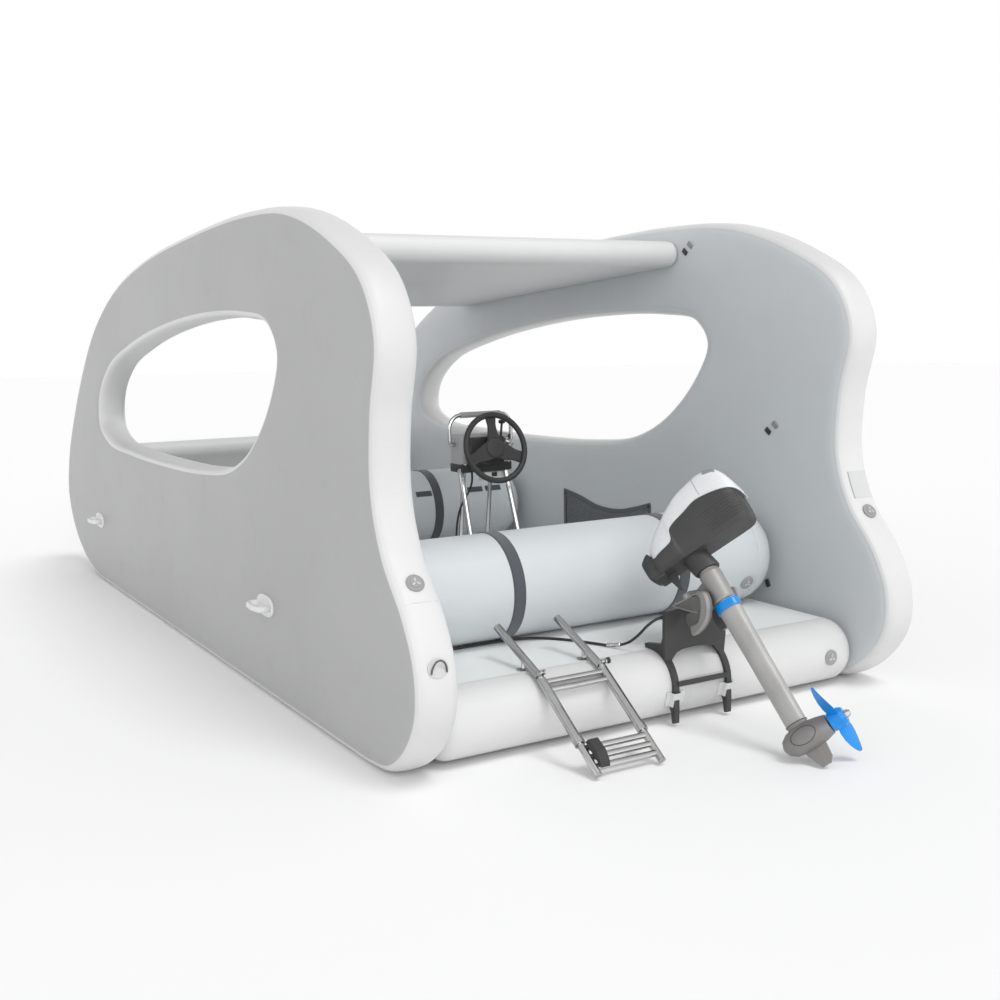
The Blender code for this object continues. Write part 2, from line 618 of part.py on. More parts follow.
def make_motor(hull):
    pin = (MOTOR_X, TILT_PIN_Y, TILT_PIN_Z)
    make_motor_clamp(hull, pin)

    tilt = add_empty("motor_tilt_axis", pin, (-TILT, 0, 0), hull)
    to_leg = Matrix.Translation(Vector((0, LEG_Y, 0)))
    swivel = join("motor_swivel", [
        turned("sleeve", ((0.034, -0.096), (0.039, -0.088), (0.041, 0.016), (0.036, 0.032)), 32,
               to_leg),
        rod("knuckle", (-0.048, 0, 0), (0.048, 0, 0), 0.018, 24),
        block("web", (-0.022, LEG_Y + 0.020, -0.040), (0.022, -0.004, 0.012), 0.004)])
    swivel_object = add_object("motor_swivel", swivel, "cast_metal", tilt)
    cut(swivel_object, rod("bore", (-0.08, 0, 0), (0.08, 0, 0), 0.0088, 20))
    cut(swivel_object, turned("bore", ((0.0284, -0.12), (0.0284, 0.06)), 28, to_leg))

    steer = add_empty("motor_steer_axis", (0, LEG_Y, 0), (0, 0, STEER), tilt)
    leg = loft("leg", [oval(0.024, 0.037, 0, -0.586), oval(0.025, 0.038, 0, -0.330),
                       oval(0.0275, 0.042, 0, -0.110), oval(0.0275, 0.042, 0, -0.0990)])
    shaft = turned("shaft", ((0.0278, -0.105), (0.0278, 0.0350)), 28)
    add_object("motor_leg", join("motor_leg", [leg, shaft]), "anodised", steer)

    collar = loft("motor_collar", [oval(0.0305, 0.0450, 0, -0.1330), oval(0.0315, 0.0460, 0, -0.1290),
                                   oval(0.0315, 0.0460, 0, -0.1060),
                                   oval(0.0305, 0.0450, 0, -0.1020)])
    collar = add_object("motor_collar", collar, "propeller_blue", steer)
    cut(collar, loft("collar_bore", [oval(0.0281, 0.0426, 0, -0.16), oval(0.0281, 0.0426, 0, -0.08)]))

    seat = ((-0.176, 0.2366), (-0.099, 0.2489), (0.012, 0.2210), (0.031, 0.2095), (0.045, 0.172),
            (0.106, 0.158), (0.135, 0.154))
    battery = [(-0.238, 0.014, 0.178, 0.012, 0.132), (-0.228, 0.045, 0.205, 0.032, 0.112),
               (-0.206, 0.070, 0.2265, 0.045, 0.106)]
    battery += [(y, 0.088, z, 0.054, 0.104) for y, z in seat[:5]]
    battery += [(0.106, 0.084, 0.158, 0.052, 0.104), (0.135, 0.078, 0.154, 0.050, 0.104),
                (0.150, 0.070, 0.188, 0.047, 0.104), (0.170, 0.060, 0.176, 0.042, 0.106),
                (0.190, 0.044, 0.150, 0.030, 0.118)]
    body = head_shell("battery", battery, ((0.0, 0.0), (0.10, 0.30), (0.45, 0.75), (1.0, 1.0)))
    neck = loft("neck", [oval(0.038, 0.046, 0, 0.0353), oval(0.040, 0.050, 0, 0.112)])
    add_object("motor_battery", join("motor_battery", [body, neck]), "black_plastic", steer)
    cowl = [(-0.248, 0.014, 0.197, 0.006, 0.222), (-0.237, 0.046, 0.213, 0.032, 0.268),
            (-0.211, 0.073, 0.227, 0.052, 0.322), (-0.176, 0.092, 0.237, 0.066, 0.331),
            (-0.144, 0.092, 0.244, 0.068, 0.336), (-0.099, 0.092, 0.249, 0.068, 0.329),
            (-0.042, 0.092, 0.2348, 0.068, 0.316), (0.012, 0.091, 0.2212, 0.066, 0.289),
            (0.031, 0.090, 0.2100, 0.064, 0.279), (0.045, 0.089, 0.1725, 0.062, 0.272),
            (0.098, 0.084, 0.1602, 0.056, 0.236), (0.134, 0.072, 0.1545, 0.046, 0.205),
            (0.1425, 0.060, 0.1730, 0.040, 0.188)]
    cowl = [(y, width, z + 2 * CONTACT, top_width, top) for y, width, z, top_width, top in cowl]
    cowl = head_shell("motor_cowl", cowl, ((0.0, 0.0), (0.08, 0.45), (0.40, 0.85), (1.0, 1.0)))
    add_object("motor_cowl", cowl, "cowl_white", steer)
    make_motor_pod(steer)


def make_motor_pod(steer):
    tail = -0.094
    pod = turned("pod", ((0.008, -0.078), (0.026, -0.069), (0.040, -0.048), (0.047, -0.015),
                         (0.047, 0.030), (0.041, 0.064), (0.033, -tail)), 32,
                 along((0, 0, POD_Z), (0, -1, 0)))
    neck = loft("neck", [oval(0.021, 0.036, 0, POD_Z + 0.020), oval(0.024, 0.037, 0, -0.5863)])
    skeg = slab("skeg", ((0.030, POD_Z - 0.030), (0.006, POD_Z - 0.090), (-0.004, POD_Z - 0.108),
                         (-0.036, POD_Z - 0.108), (-0.050, POD_Z - 0.090),
                         (-0.055, POD_Z - 0.030)), -0.005, 0.005)
    shaft = rod("shaft", (0, tail + 0.010, POD_Z), (0, tail - 0.055, POD_Z), 0.0070, 24)
    add_object("motor_pod", join("motor_pod", [pod, neck, skeg, shaft]), "anodised", steer)

    axis = add_empty("propeller_axis", (0, tail, POD_Z), (math.pi / 2, 0, 0), steer)
    blades = [turned("hub", ((0.032, 0.006), (0.033, 0.045), (0.026, 0.058)), 28)]
    for turn in (math.radians(-28), math.radians(152)):
        blades.append(propeller_blade(turn))
    propeller = add_object("propeller", join("propeller", blades), "propeller_blue", axis)
    cut(propeller, turned("bore", ((0.0074, -0.010), (0.0074, 0.0560)), 24))
    nut = turned("propeller_nut", ((0.013, 0.058 + CONTACT), (0.013, 0.068), (0.007, 0.076)), 6)
    add_object("propeller_nut", nut, "stainless", axis)


def propeller_blade(turn):
    """One swept blade from the hub out, as a loft of thin twisted sections."""
    sections = ((0.022, 0.016, 60, 0.000), (0.045, 0.026, 50, 0.002), (0.070, 0.032, 40, 0.006),
                (0.095, 0.032, 33, 0.012), (0.118, 0.026, 28, 0.020), (0.132, 0.017, 25, 0.027),
                (PROPELLER_RADIUS, 0.006, 24, 0.032))
    rings = []
    for radius, half_chord, pitch, sweep in sections:
        angle = math.radians(pitch)
        chord = Vector((0, math.cos(angle), math.sin(angle)))
        normal = Vector((0, -math.sin(angle), math.cos(angle)))
        centre = Vector((radius, -sweep, 0.028))
        ring = []
        for i in range(12):
            u = 2 * math.pi * i / 12
            ring.append(centre + chord * half_chord * math.cos(u) + normal * 0.0030 * math.sin(u))
        rings.append(ring)
    mesh = loft("blade", rings)
    mesh.transform(Matrix.Rotation(turn, 4, "Z"))
    return mesh


def make_ladder_handle(hull, name, side):
    """One fixed hand rail over the deck, with its post and foot and one ear of the hinge."""
    forward = Vector((0, math.cos(HANDLE_SLOPE), math.sin(HANDLE_SLOPE)))
    out = Vector((0, -math.sin(HANDLE_SLOPE), math.cos(HANDLE_SLOPE)))
    pivot = Vector((LADDER_X + side * LADDER_WIDTH / 2, *LADDER_PIVOT))
    line = pivot - out * LADDER_DROP
    ear = [forward * 0.026 - out * LADDER_DROP, forward * 0.008 - out * LADDER_DROP]
    ear += [out * 0.009 * math.sin(turn) + forward * 0.009 * math.cos(turn)
            for turn in (math.radians(angle) for angle in range(210, -31, -24))]
    ear = [(pivot.y + point.y, pivot.z + point.z) for point in ear]
    ear_x = pivot.x + side * 0.008
    post_foot = line + forward * 0.115
    foot_low = DECK_TOP + CONTACT
    pieces = [
        rod("rail", line + forward * 0.006, line + forward * 0.300, RAIL_RADIUS - 0.002, 20),
        slab("ear", ear, ear_x - 0.003, ear_x + 0.003),
        rod("pin", pivot - Vector((side * 0.015, 0, 0)), pivot + Vector((side * 0.015, 0, 0)),
            0.005, 16),
        rod("post", post_foot, (post_foot.x, post_foot.y, foot_low + 0.002), 0.009, 16),
        turned("foot", ((0.026, 0.0), (0.026, 0.003), (0.012, 0.007)), 24,
               Matrix.Translation(Vector((post_foot.x, post_foot.y, foot_low))))]
    add_object(name, join(name, pieces), "stainless", hull)


def make_ladder(hull):
    """Hinged rails with two rungs, and the closed telescoping foot with three rungs and a latch."""
    make_ladder_handle(hull, "ladder_handle_port", -1)
    make_ladder_handle(hull, "ladder_handle_starboard", 1)

    down = Vector((0, -math.cos(LADDER_SLOPE), -math.sin(LADDER_SLOPE)))
    out = Vector((0, -math.sin(LADDER_SLOPE), math.cos(LADDER_SLOPE)))
    half = LADDER_WIDTH / 2
    fold = add_empty("ladder_fold_axis", (LADDER_X, *LADDER_PIVOT), parent=hull)
    line = -out * LADDER_DROP
    rail_end = 0.285
    pieces = []
    for side in (-1, 1):
        rail = line + Vector((side * half, 0, 0))
        pieces.append(rod("rail", rail + down * 0.006, rail + down * rail_end, RAIL_RADIUS, 20))
        pieces.append(rod("collar", rail + down * (rail_end - 0.020),
                          rail + down * (rail_end + 0.004), RAIL_RADIUS + 0.003, 20))
        ear = [line + down * 0.026, line + down * 0.008]
        ear += [out * 0.009 * math.sin(turn) + down * 0.009 * math.cos(turn)
                for turn in (math.radians(angle) for angle in range(210, -31, -24))]
        ear_x = side * (half - 0.008)
        pieces.append(slab("ear", [(point.y, point.z) for point in ear],
                           ear_x - 0.003, ear_x + 0.003))
    for distance in (0.024, 0.058):
        step = line + down * distance
        pieces.append(rod("rung", step - Vector((half, 0, 0)), step + Vector((half, 0, 0)),
                          0.010, 16))
    rails = add_object("ladder_rails", join("ladder_rails", pieces), "stainless", fold)
    for side in (-1, 1):
        rail = line + Vector((side * half, 0, 0))
        across = Vector((side * half, 0, 0))
        cut(rails, rod("bore", rail + down * 0.048, rail + down * 0.400, 0.0134, 20))
        cut(rails, rod("pin_hole", across - Vector((0.025, 0, 0)), across + Vector((0.025, 0, 0)),
                       0.0056, 16))

    foot_end = 0.412
    rungs = (0.306, 0.343, 0.380)
    pieces = []
    for side in (-1, 1):
        rail = line + Vector((side * half, 0, 0))
        pieces.append(rod("tube", rail + down * 0.080, rail + down * foot_end, FOOT_RADIUS, 20))
    for distance in rungs:
        step = line + down * distance
        pieces.append(rod("rung", step - Vector((half, 0, 0)), step + Vector((half, 0, 0)),
                          0.011, 16))
    add_object("ladder_foot", join("ladder_foot", pieces), "stainless", fold)

    latch_x = -half + FOOT_RADIUS + 0.020
    lift = 0.011 + CONTACT - LADDER_DROP
    outline = [down * (rungs[0] - 0.016) + out * lift,
               down * (rungs[0] - 0.010) + out * (lift + 0.022),
               down * (rungs[1] + 0.006) + out * (lift + 0.026),
               down * (rungs[2] + 0.004) + out * (lift + 0.012),
               down * (rungs[2] + 0.014) + out * lift]
    latch = slab("ladder_latch", [(point.y, point.z) for point in outline], latch_x - 0.018,
                 latch_x + 0.018)
    add_object("ladder_latch", latch, "black_plastic", fold)


def band_point(near):
    """The point of a wall's edge band nearest to a (Y, Z) place, and its outward direction."""
    seam = curve_through(WALL_SEAM, 4, closed=False)
    near = Vector(near)
    index = min(range(1, len(seam) - 1), key=lambda i: (seam[i] - near).length)
    along_seam = seam[index + 1] - seam[index - 1]
    outward = Vector((along_seam.y, -along_seam.x)).normalized()
    return seam[index] + outward * (BAND_BULGE + CONTACT), outward


def valve_mesh(name, place, direction):
    profile = ((0.030, 0.0), (0.030, 0.003), (0.024, 0.0055), (0.019, 0.0055), (0.018, 0.0075))
    return turned(name, profile, 28, along(place, direction))


def make_valves(hull):
    centre = HALF_BEAM - WALL_THICKNESS / 2
    for name, side, near, lift in (("port_wall_valve", -1, (0.10, 0.655), 0.0),
                                   ("starboard_wall_valve", 1, (0.10, 0.740), 0.0014)):
        point, outward = band_point(near)
        point += outward * lift
        mesh = valve_mesh(name, (side * centre, point.x, point.y), (0, outward.x, outward.y))
        add_object(name, mesh, "grey_plastic", hull)
    middle = (DECK_TOP + DECK_BOTTOM) / 2
    mesh = valve_mesh("deck_valve", (0.78, DECK_STERN - CONTACT, middle), (0, -1, 0))
    add_object("deck_valve", mesh, "grey_plastic", hull)
    turn = math.radians(27)
    clear = BENCH_RADIUS + CONTACT
    place = (0.72, AFT_BENCH_Y - clear * math.cos(turn),
             DECK_TOP + CONTACT + BENCH_RADIUS - clear * math.sin(turn))
    mesh = valve_mesh("aft_bench_valve", place, (0, -math.cos(turn), -math.sin(turn)))
    add_object("aft_bench_valve", mesh, "grey_plastic", hull)


def make_steering_cable(hull):
    """The free cable: a tube on a smooth curve through its route, with even steps."""
    fine = curve_through(CABLE_ROUTE, 12, closed=False)
    length = sum((b - a).length for a, b in zip(fine, fine[1:]))
    count = round(length / CABLE_STEP)
    points = [fine[0]]
    run = 0.0
    for a, b in zip(fine, fine[1:]):
        run += (b - a).length
        if run >= length * len(points) / count:
            points.append(b)
    points[-1] = fine[-1]
    curve = bpy.data.curves.new("steering_cable", "CURVE")
    curve.dimensions = "3D"
    curve.bevel_depth = CABLE_RADIUS
    curve.bevel_resolution = 2
    curve.use_fill_caps = True
    spline = curve.splines.new("POLY")
    spline.points.add(len(points) - 1)
    for point, place in zip(spline.points, points):
        point.co = (*place, 1.0)
    add_object("steering_cable", curve, "black_plastic", hull)


def make_fittings(hull):
    """Loop cleats on the outer faces, the towing ring on a stern band and the net pocket."""
    loop = [(-0.040, 0.0, 0.004), (-0.046, 0.0, 0.024), (-0.041, 0.0, 0.040),
            (-0.026, 0.0, 0.049), (0.0, 0.0, 0.051)]
    loop += [(-x, y, z) for x, y, z in loop[-2::-1]]
    for name, side, y, z in (("port_bow_cleat", -1, 3.948, 0.365),
                             ("port_stern_cleat", -1, 1.248, 0.372),
                             ("starboard_bow_cleat", 1, 3.948, 0.365),
                             ("starboard_stern_cleat", 1, 1.248, 0.372)):
        base = block("base", (-0.060, -0.019, 0.0), (0.060, 0.019, 0.008), 0.003)
        mesh = join(name, [base, swept("loop", loop, 0.0085, 10)])
        mesh.transform(along((side * (WALL_OUTER + CONTACT), y, z), (side, 0, 0)))
        add_object(name, mesh, "white_plastic", hull)

    point, outward = band_point((-0.02, 0.407))
    base = turned("base", ((0.036, 0.0), (0.036, 0.002), (0.030, 0.004)), 28)
    ring = [(0.024 * math.cos(math.pi * i / 10), 0.032 * math.sin(math.pi * i / 10) - 0.010,
             0.0035 + 0.010 * math.sin(math.pi * i / 10)) for i in range(11)]
    mesh = join("port_tow_ring", [base, swept("ring", ring, 0.0035, 10)])
    centre = WALL_THICKNESS / 2 - HALF_BEAM
    mesh.transform(Matrix(((1, 0, 0, centre), (0, outward.y, outward.x, point.x),
                           (0, -outward.x, outward.y, point.y), (0, 0, 0, 1))))
    add_object("port_tow_ring", mesh, "stainless", hull)

    top = ((2.18, 0.560), (2.03, 0.538), (1.88, 0.506), (1.70, 0.504), (1.57, 0.530), (1.44, 0.565))
    outline = [(1.44, 0.300), (2.18, 0.300)] + list(top)
    face = WALL_INNER - CONTACT
    pocket = slab("net_pocket", outline, face - 0.005, face)
    add_object("net_pocket", pocket, "mesh_black", hull)


def make_boat():
    hull = add_empty("hull", (0, 0, 0))
    make_walls(hull)
    make_panels(hull)
    make_benches(hull)
    make_bench_straps(hull)
    make_console(hull)
    make_motor_bracket(hull)
    make_motor(hull)
    make_ladder(hull)
    make_valves(hull)
    make_fittings(hull)
    make_steering_cable(hull)
    return hull


def centre_on_origin(hull):
    """Moves the whole boat along Y, so that the origin is under the middle of its length."""
    bpy.context.view_layer.update()
    depsgraph = bpy.context.evaluated_depsgraph_get()
    reach = []
    for obj in bpy.context.scene.objects:
        if obj.type == "MESH" and not obj.hide_render:
            mesh = obj.evaluated_get(depsgraph).to_mesh()
            reach += [(obj.matrix_world @ vertex.co).y for vertex in mesh.vertices]
    hull.location.y = -(min(reach) + max(reach)) / 2


clear_scene()
MATERIALS = make_materials()
centre_on_origin(make_boat())
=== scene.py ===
"""Looks of the inflatable houseboat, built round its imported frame.

Places are written in the hull's own frame, in metres: X to starboard from the centre line, Y to the
bow from the sternmost wall seam, Z up from the ground. at() moves them to the frame's own origin.
"""
import math

import bmesh
import bpy
from bpy.props import FloatProperty, FloatVectorProperty, IntProperty, PointerProperty
from bpy.types import Operator, Panel, PropertyGroup
from mathutils import Matrix, Vector, noise


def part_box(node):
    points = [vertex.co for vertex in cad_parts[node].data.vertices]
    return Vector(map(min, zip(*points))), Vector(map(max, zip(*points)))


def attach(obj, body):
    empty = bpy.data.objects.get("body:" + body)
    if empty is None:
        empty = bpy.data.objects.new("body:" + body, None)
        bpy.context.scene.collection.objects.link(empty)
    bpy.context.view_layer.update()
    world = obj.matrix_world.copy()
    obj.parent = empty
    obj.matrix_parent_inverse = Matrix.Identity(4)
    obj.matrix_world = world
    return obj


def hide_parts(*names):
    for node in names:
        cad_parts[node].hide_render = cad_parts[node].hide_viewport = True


bl_info = {
    "name": "Inflatable houseboat looks",
    "version": (1, 0, 0),
    "blender": (4, 5, 0),
    "location": "View3D > Sidebar > Houseboat",
    "description": "Dresses the packed frame of an inflatable houseboat with its skins and details",
    "category": "Object",
}

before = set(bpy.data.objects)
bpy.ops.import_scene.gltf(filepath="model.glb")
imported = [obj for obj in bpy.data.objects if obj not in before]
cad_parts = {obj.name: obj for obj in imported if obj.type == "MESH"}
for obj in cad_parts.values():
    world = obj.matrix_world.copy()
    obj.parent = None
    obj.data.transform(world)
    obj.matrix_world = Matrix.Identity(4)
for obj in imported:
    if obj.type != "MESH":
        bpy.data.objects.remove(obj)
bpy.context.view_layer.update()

# Hull sizes
DECK_STERN = 0.130
HULL_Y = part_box("deck")[0].y - DECK_STERN
HALF_BEAM = 1.07
WALL_HALF = 0.07
WALL_CENTRE = HALF_BEAM - WALL_HALF
FACE_SWELL = 0.008
BAND_BULGE = 0.022
WINDOW_BULGE = 0.024
WALL_INNER = HALF_BEAM - 2 * WALL_HALF - FACE_SWELL
# Gap between a dressed skin and what it rests on
CONTACT = 0.0003

DECK_TOP = 0.255
DECK_BOTTOM = 0.012
DECK_BOW = 4.36
DECK_RADIUS = (DECK_TOP - DECK_BOTTOM) / 2
DECK_MIDDLE = (DECK_TOP + DECK_BOTTOM) / 2

ROOF_HALF = 0.0575
ROOF_STERN_EDGE = (1.2925, 1.7295)
ROOF_BOW_EDGE = (3.1875, 1.6005)
BOW_PANEL_HALF = 0.06
BOW_PANEL_FOOT = (4.43, 0.325)
BOW_PANEL_HEAD = (4.13, 0.715)

BENCH_RADIUS = 0.20
BENCH_Z = DECK_TOP + CONTACT + BENCH_RADIUS
BENCH_DOME = 0.15
# Each bench: its name, its Y, and how far its straps are from the centre line
BENCHES = (("aft_bench", 0.72, 0.380), ("forward_bench", 2.72, 0.355))
STRAP_WIDTH = 0.050
STRAP_THICKNESS = 0.0026

WHEEL_CENTRE = (0.183, 1.645, 0.868)
WHEEL_RADIUS = 0.165
WHEEL_RAKE = math.radians(15)
THROTTLE_PLACE = (0.262, 1.7447, 0.888)

# Motor place, as the frame holds it at rest
TILT_PIN = (0.135, 0.135, 0.462)
TILT = math.radians(45.5)
STEER = math.radians(35)
LEG_Y = -0.094
POD_Z = -0.641

# Stations of the motor's head along its own Y: (y, seat half width, seat height, far half width,
# far height), where cowl and battery meet at the seat
COWL = (
    (-0.248, 0.046, 0.203, 0.036, 0.226), (-0.242, 0.064, 0.211, 0.048, 0.256),
    (-0.228, 0.078, 0.221, 0.057, 0.296), (-0.206, 0.087, 0.229, 0.063, 0.324),
    (-0.176, 0.092, 0.237, 0.066, 0.333), (-0.144, 0.092, 0.244, 0.068, 0.336),
    (-0.099, 0.092, 0.249, 0.068, 0.329), (-0.042, 0.092, 0.2348, 0.068, 0.316),
    (0.012, 0.091, 0.2212, 0.066, 0.289), (0.031, 0.090, 0.2100, 0.064, 0.279),
    (0.045, 0.089, 0.1725, 0.062, 0.272), (0.098, 0.084, 0.1602, 0.056, 0.236),
    (0.134, 0.072, 0.1545, 0.046, 0.205), (0.1425, 0.060, 0.1730, 0.040, 0.188),
)
BATTERY = (
    (-0.239, 0.045, 0.203, 0.030, 0.134), (-0.235, 0.061, 0.211, 0.040, 0.118),
    (-0.222, 0.075, 0.221, 0.048, 0.108), (-0.203, 0.084, 0.229, 0.053, 0.105),
    (-0.176, 0.088, 0.2366, 0.054, 0.104), (-0.099, 0.088, 0.2489, 0.054, 0.104),
    (0.012, 0.088, 0.2210, 0.054, 0.104), (0.031, 0.088, 0.2095, 0.054, 0.104),
    (0.045, 0.088, 0.172, 0.054, 0.104), (0.106, 0.084, 0.158, 0.052, 0.104),
    (0.135, 0.078, 0.154, 0.050, 0.104), (0.150, 0.070, 0.188, 0.047, 0.104),
    (0.176, 0.062, 0.178, 0.045, 0.104), (0.187, 0.056, 0.170, 0.040, 0.107),
    (0.191, 0.048, 0.158, 0.034, 0.114),
)
COWL_SECTION = ((0.0, 0.0), (0.05, 0.40), (0.26, 0.80), (0.62, 0.96), (1.0, 1.0))
COWL_CROWN = 0.003
RIB_PITCH = 0.0115
RIB_DEPTH = 0.0026
RIBS_FORE = -0.070
RIBS_LOW = 0.118
RIBS_HIGH = 0.208
GRIP_BAND = (-0.213, -0.172)
LINE_BAND = (-0.1262, -0.1240)

# A clamp cheek in (Y, Z) from the tilt pin: its outline and the inner edge of its thick rim
CHEEK = (
    (0.0700, -0.0480), (-0.0024, -0.0080), (-0.0685, 0.0286), (-0.1009, 0.0343),
    (-0.1205, 0.0144), (-0.1290, -0.0153), (-0.1235, -0.0515), (-0.1051, -0.0827),
    (-0.0757, -0.1124), (-0.0459, -0.1305), (-0.0306, -0.1177), (-0.0061, -0.0986),
    (0.0002, -0.0757), (-0.0027, -0.0631), (-0.0331, -0.0473),
)
CHEEK_RIM_INNER = (
    (-0.0365, -0.1005), (-0.0754, -0.0768), (-0.0897, -0.0227), (-0.0805, 0.0150),
    (-0.0447, 0.0085),
)
CHEEK_X = 0.060
CHEEK_HALF = 0.006
BRACKET_LEG_X = 0.120

LADDER_X = -0.395
LADDER_WIDTH = 0.25
LADDER_PIVOT = (0.1612, 0.2742)
LADDER_DROP = 0.024
LADDER_SLOPE = math.radians(35)
HANDLE_SLOPE = math.radians(23)
HANDLE_LENGTH = 0.300
HANDLE_RADIUS = 0.014
RAIL_LENGTH = 0.412
RAIL_RADIUS = 0.0125

CABLE_RADIUS = 0.005
CABLE_ROUTE = (
    (0.0470, 0.185, 0.387), (0.0090, 0.185, 0.387), (-0.021, 0.189, 0.381),
    (-0.047, 0.206, 0.358), (-0.063, 0.236, 0.321), (-0.076, 0.280, 0.286),
    (-0.096, 0.340, 0.2650), (-0.130, 0.425, 0.2606), (-0.180, 0.520, 0.2605),
    (-0.245, 0.595, 0.2605), (-0.330, 0.634, 0.2605), (-0.450, 0.642, 0.2605),
    (-0.600, 0.641, 0.2605), (-0.720, 0.638, 0.2605), (-0.782, 0.648, 0.2605),
    (-0.825, 0.682, 0.2605), (-0.845, 0.740, 0.2605), (-0.847, 0.810, 0.2605),
    (-0.832, 0.890, 0.2605), (-0.780, 0.985, 0.2605), (-0.660, 1.115, 0.2605),
    (-0.510, 1.270, 0.2605), (-0.360, 1.440, 0.2605), (-0.220, 1.610, 0.2605),
    (-0.110, 1.745, 0.2606), (-0.020, 1.840, 0.2610), (0.038, 1.882, 0.2680),
    (0.078, 1.894, 0.300), (0.098, 1.892, 0.350), (0.104, 1.885, 0.420), (0.105, 1.872, 0.500),
    (0.108, 1.852, 0.560), (0.118, 1.828, 0.610), (0.134, 1.810, 0.650), (0.146, 1.802, 0.685),
    (0.150, 1.800, 0.712), (0.150, 1.800, 0.7502),
)

# Cleats: each place's name, Y and Z, and the half sizes of the plate and the pad on it
CLEAT_PLACES = (("bow", 3.948, 0.365), ("stern", 1.248, 0.372))
CLEAT_BASE = (0.082, 0.042)
CLEAT_PAD = (0.068, 0.018)
CLEAT_LOOP_RADIUS = 0.0084

# Places on the walls' stern bands, as (Y, Z)
PORT_VALVE = (0.10, 0.655)
STARBOARD_VALVE = (0.10, 0.740)
TOW_RING = (-0.02, 0.407)
PLACARD = (0.229, 0.774)

# Net pocket in (Y, Z): its top edge from bow to stern, and its foot
POCKET_TOP = (
    (2.18, 0.560), (2.03, 0.538), (1.88, 0.506), (1.70, 0.504), (1.57, 0.530), (1.44, 0.565),
)
POCKET_STERN = 1.44
POCKET_BOW = 2.18
POCKET_FOOT = 0.300
HEM_WIDTH = 0.022

# Side wall outline through the seam, as (Y, Z), from the front of the keel line round the bow,
# over the top and down the stern
WALL_SEAM = (
    (3.70, 0.022), (4.14, 0.034), (4.46, 0.108), (4.70, 0.255), (4.795, 0.440),
    (4.72, 0.670), (4.50, 0.930), (4.20, 1.200), (3.87, 1.425), (3.40, 1.615),
    (2.80, 1.738), (2.00, 1.812), (1.30, 1.838), (0.90, 1.812), (0.55, 1.705),
    (0.30, 1.560), (0.213, 1.380), (0.262, 1.140), (0.272, 0.900), (0.205, 0.710),
    (0.075, 0.545), (0.006, 0.400), (0.008, 0.250), (0.088, 0.125), (0.210, 0.042),
    (0.36, 0.022),
)
WINDOW_SEAM = (
    (1.04, 1.33), (1.12, 1.17), (1.33, 0.98), (1.60, 0.860), (2.00, 0.812),
    (2.60, 0.795), (3.20, 0.800), (3.66, 0.828), (3.85, 0.920), (3.82, 1.070),
    (3.58, 1.235), (3.10, 1.357), (2.50, 1.445), (1.90, 1.488), (1.40, 1.485),
    (1.13, 1.445),
)


def colour_setting(name, description, default):
    """A colour in a property group."""
    return FloatVectorProperty(name=name, description=description, size=3, subtype="COLOR",
                               default=default, min=0, max=1)


class HouseboatHull(PropertyGroup):
    """Colours and sizes of the inflated parts"""

    face_colour: colour_setting("Face colour", "Fabric on the flat faces of the walls",
                                (0.425, 0.427, 0.433))
    # The inner faces' fabric is painted lighter than the outer faces', to make up for the shade
    # inside the hull
    inside_lightened_colour: colour_setting("Inside colour", "Fabric on the inner faces of the walls",
                                  (0.62, 0.65, 0.665))
    band_colour: colour_setting("Band colour", "Fabric on the round edge bands",
                                (0.68, 0.68, 0.68))
    deck_colour: colour_setting("Deck colour", "Non-slip fabric on top of the deck",
                                (0.85, 0.87, 0.87))
    bench_colour: colour_setting("Bench colour", "Fabric of the bench tubes",
                                 (0.60, 0.635, 0.65))
    tape_width: FloatProperty(
        name="Seam tape width", description="Width of the glued tape over each seam",
        subtype="DISTANCE", default=0.020, min=0.01, max=0.05)
    span_steps: IntProperty(
        name="Outline steps", description="Mesh steps between two outline points",
        default=8, min=4, max=12)


class HouseboatGear(PropertyGroup):
    """Colours and sizes of the fitted gear"""

    webbing_colour: colour_setting("Webbing colour", "Dark woven straps", (0.070, 0.078, 0.092))
    propeller_colour: colour_setting("Propeller colour", "Propeller and leg collar",
                                     (0.0, 0.245, 0.72))
    net_pitch: FloatProperty(
        name="Net pitch", description="Distance between the strands of the net pocket",
        subtype="DISTANCE", default=0.010, min=0.004, max=0.03)


def at(x, y, z):
    """A place in the hull's own frame, moved to the row frame."""
    return Vector((x, y + HULL_Y, z))


def curve_through(points, per_span, closed):
    """Centripetal Catmull-Rom curve through points, per_span steps to each span."""
    points = [Vector(point) for point in points]
    count = len(points)
    made = []
    for i in range(count if closed else count - 1):
        if closed:
            p = [points[(i + k) % count] for k in (-1, 0, 1, 2)]
        else:
            first = points[i - 1] if i else 2 * points[0] - points[1]
            last = points[i + 2] if i + 2 < count else 2 * points[-1] - points[-2]
            p = [first, points[i], points[i + 1], last]
        t = [0.0]
        for a, b in zip(p, p[1:]):
            t.append(t[-1] + math.sqrt((b - a).length))
        for step in range(per_span):
            u = t[1] + (t[2] - t[1]) * step / per_span
            a1 = p[0].lerp(p[1], (u - t[0]) / (t[1] - t[0]))
            a2 = p[1].lerp(p[2], (u - t[1]) / (t[2] - t[1]))
            a3 = p[2].lerp(p[3], (u - t[2]) / (t[3] - t[2]))
            b1 = a1.lerp(a2, (u - t[0]) / (t[2] - t[0]))
            b2 = a2.lerp(a3, (u - t[1]) / (t[3] - t[1]))
            made.append(b1.lerp(b2, (u - t[1]) / (t[2] - t[1])))
    if not closed:
        made.append(points[-1])
    return made


def offset(outline, distance):
    """Moves a closed counter-clockwise 2-D outline outwards along its normals."""
    count = len(outline)
    moved = []
    for i, point in enumerate(outline):
        tangent = outline[(i + 1) % count] - outline[i - 1]
        moved.append(point + Vector((tangent.y, -tangent.x)).normalized() * distance)
    return moved


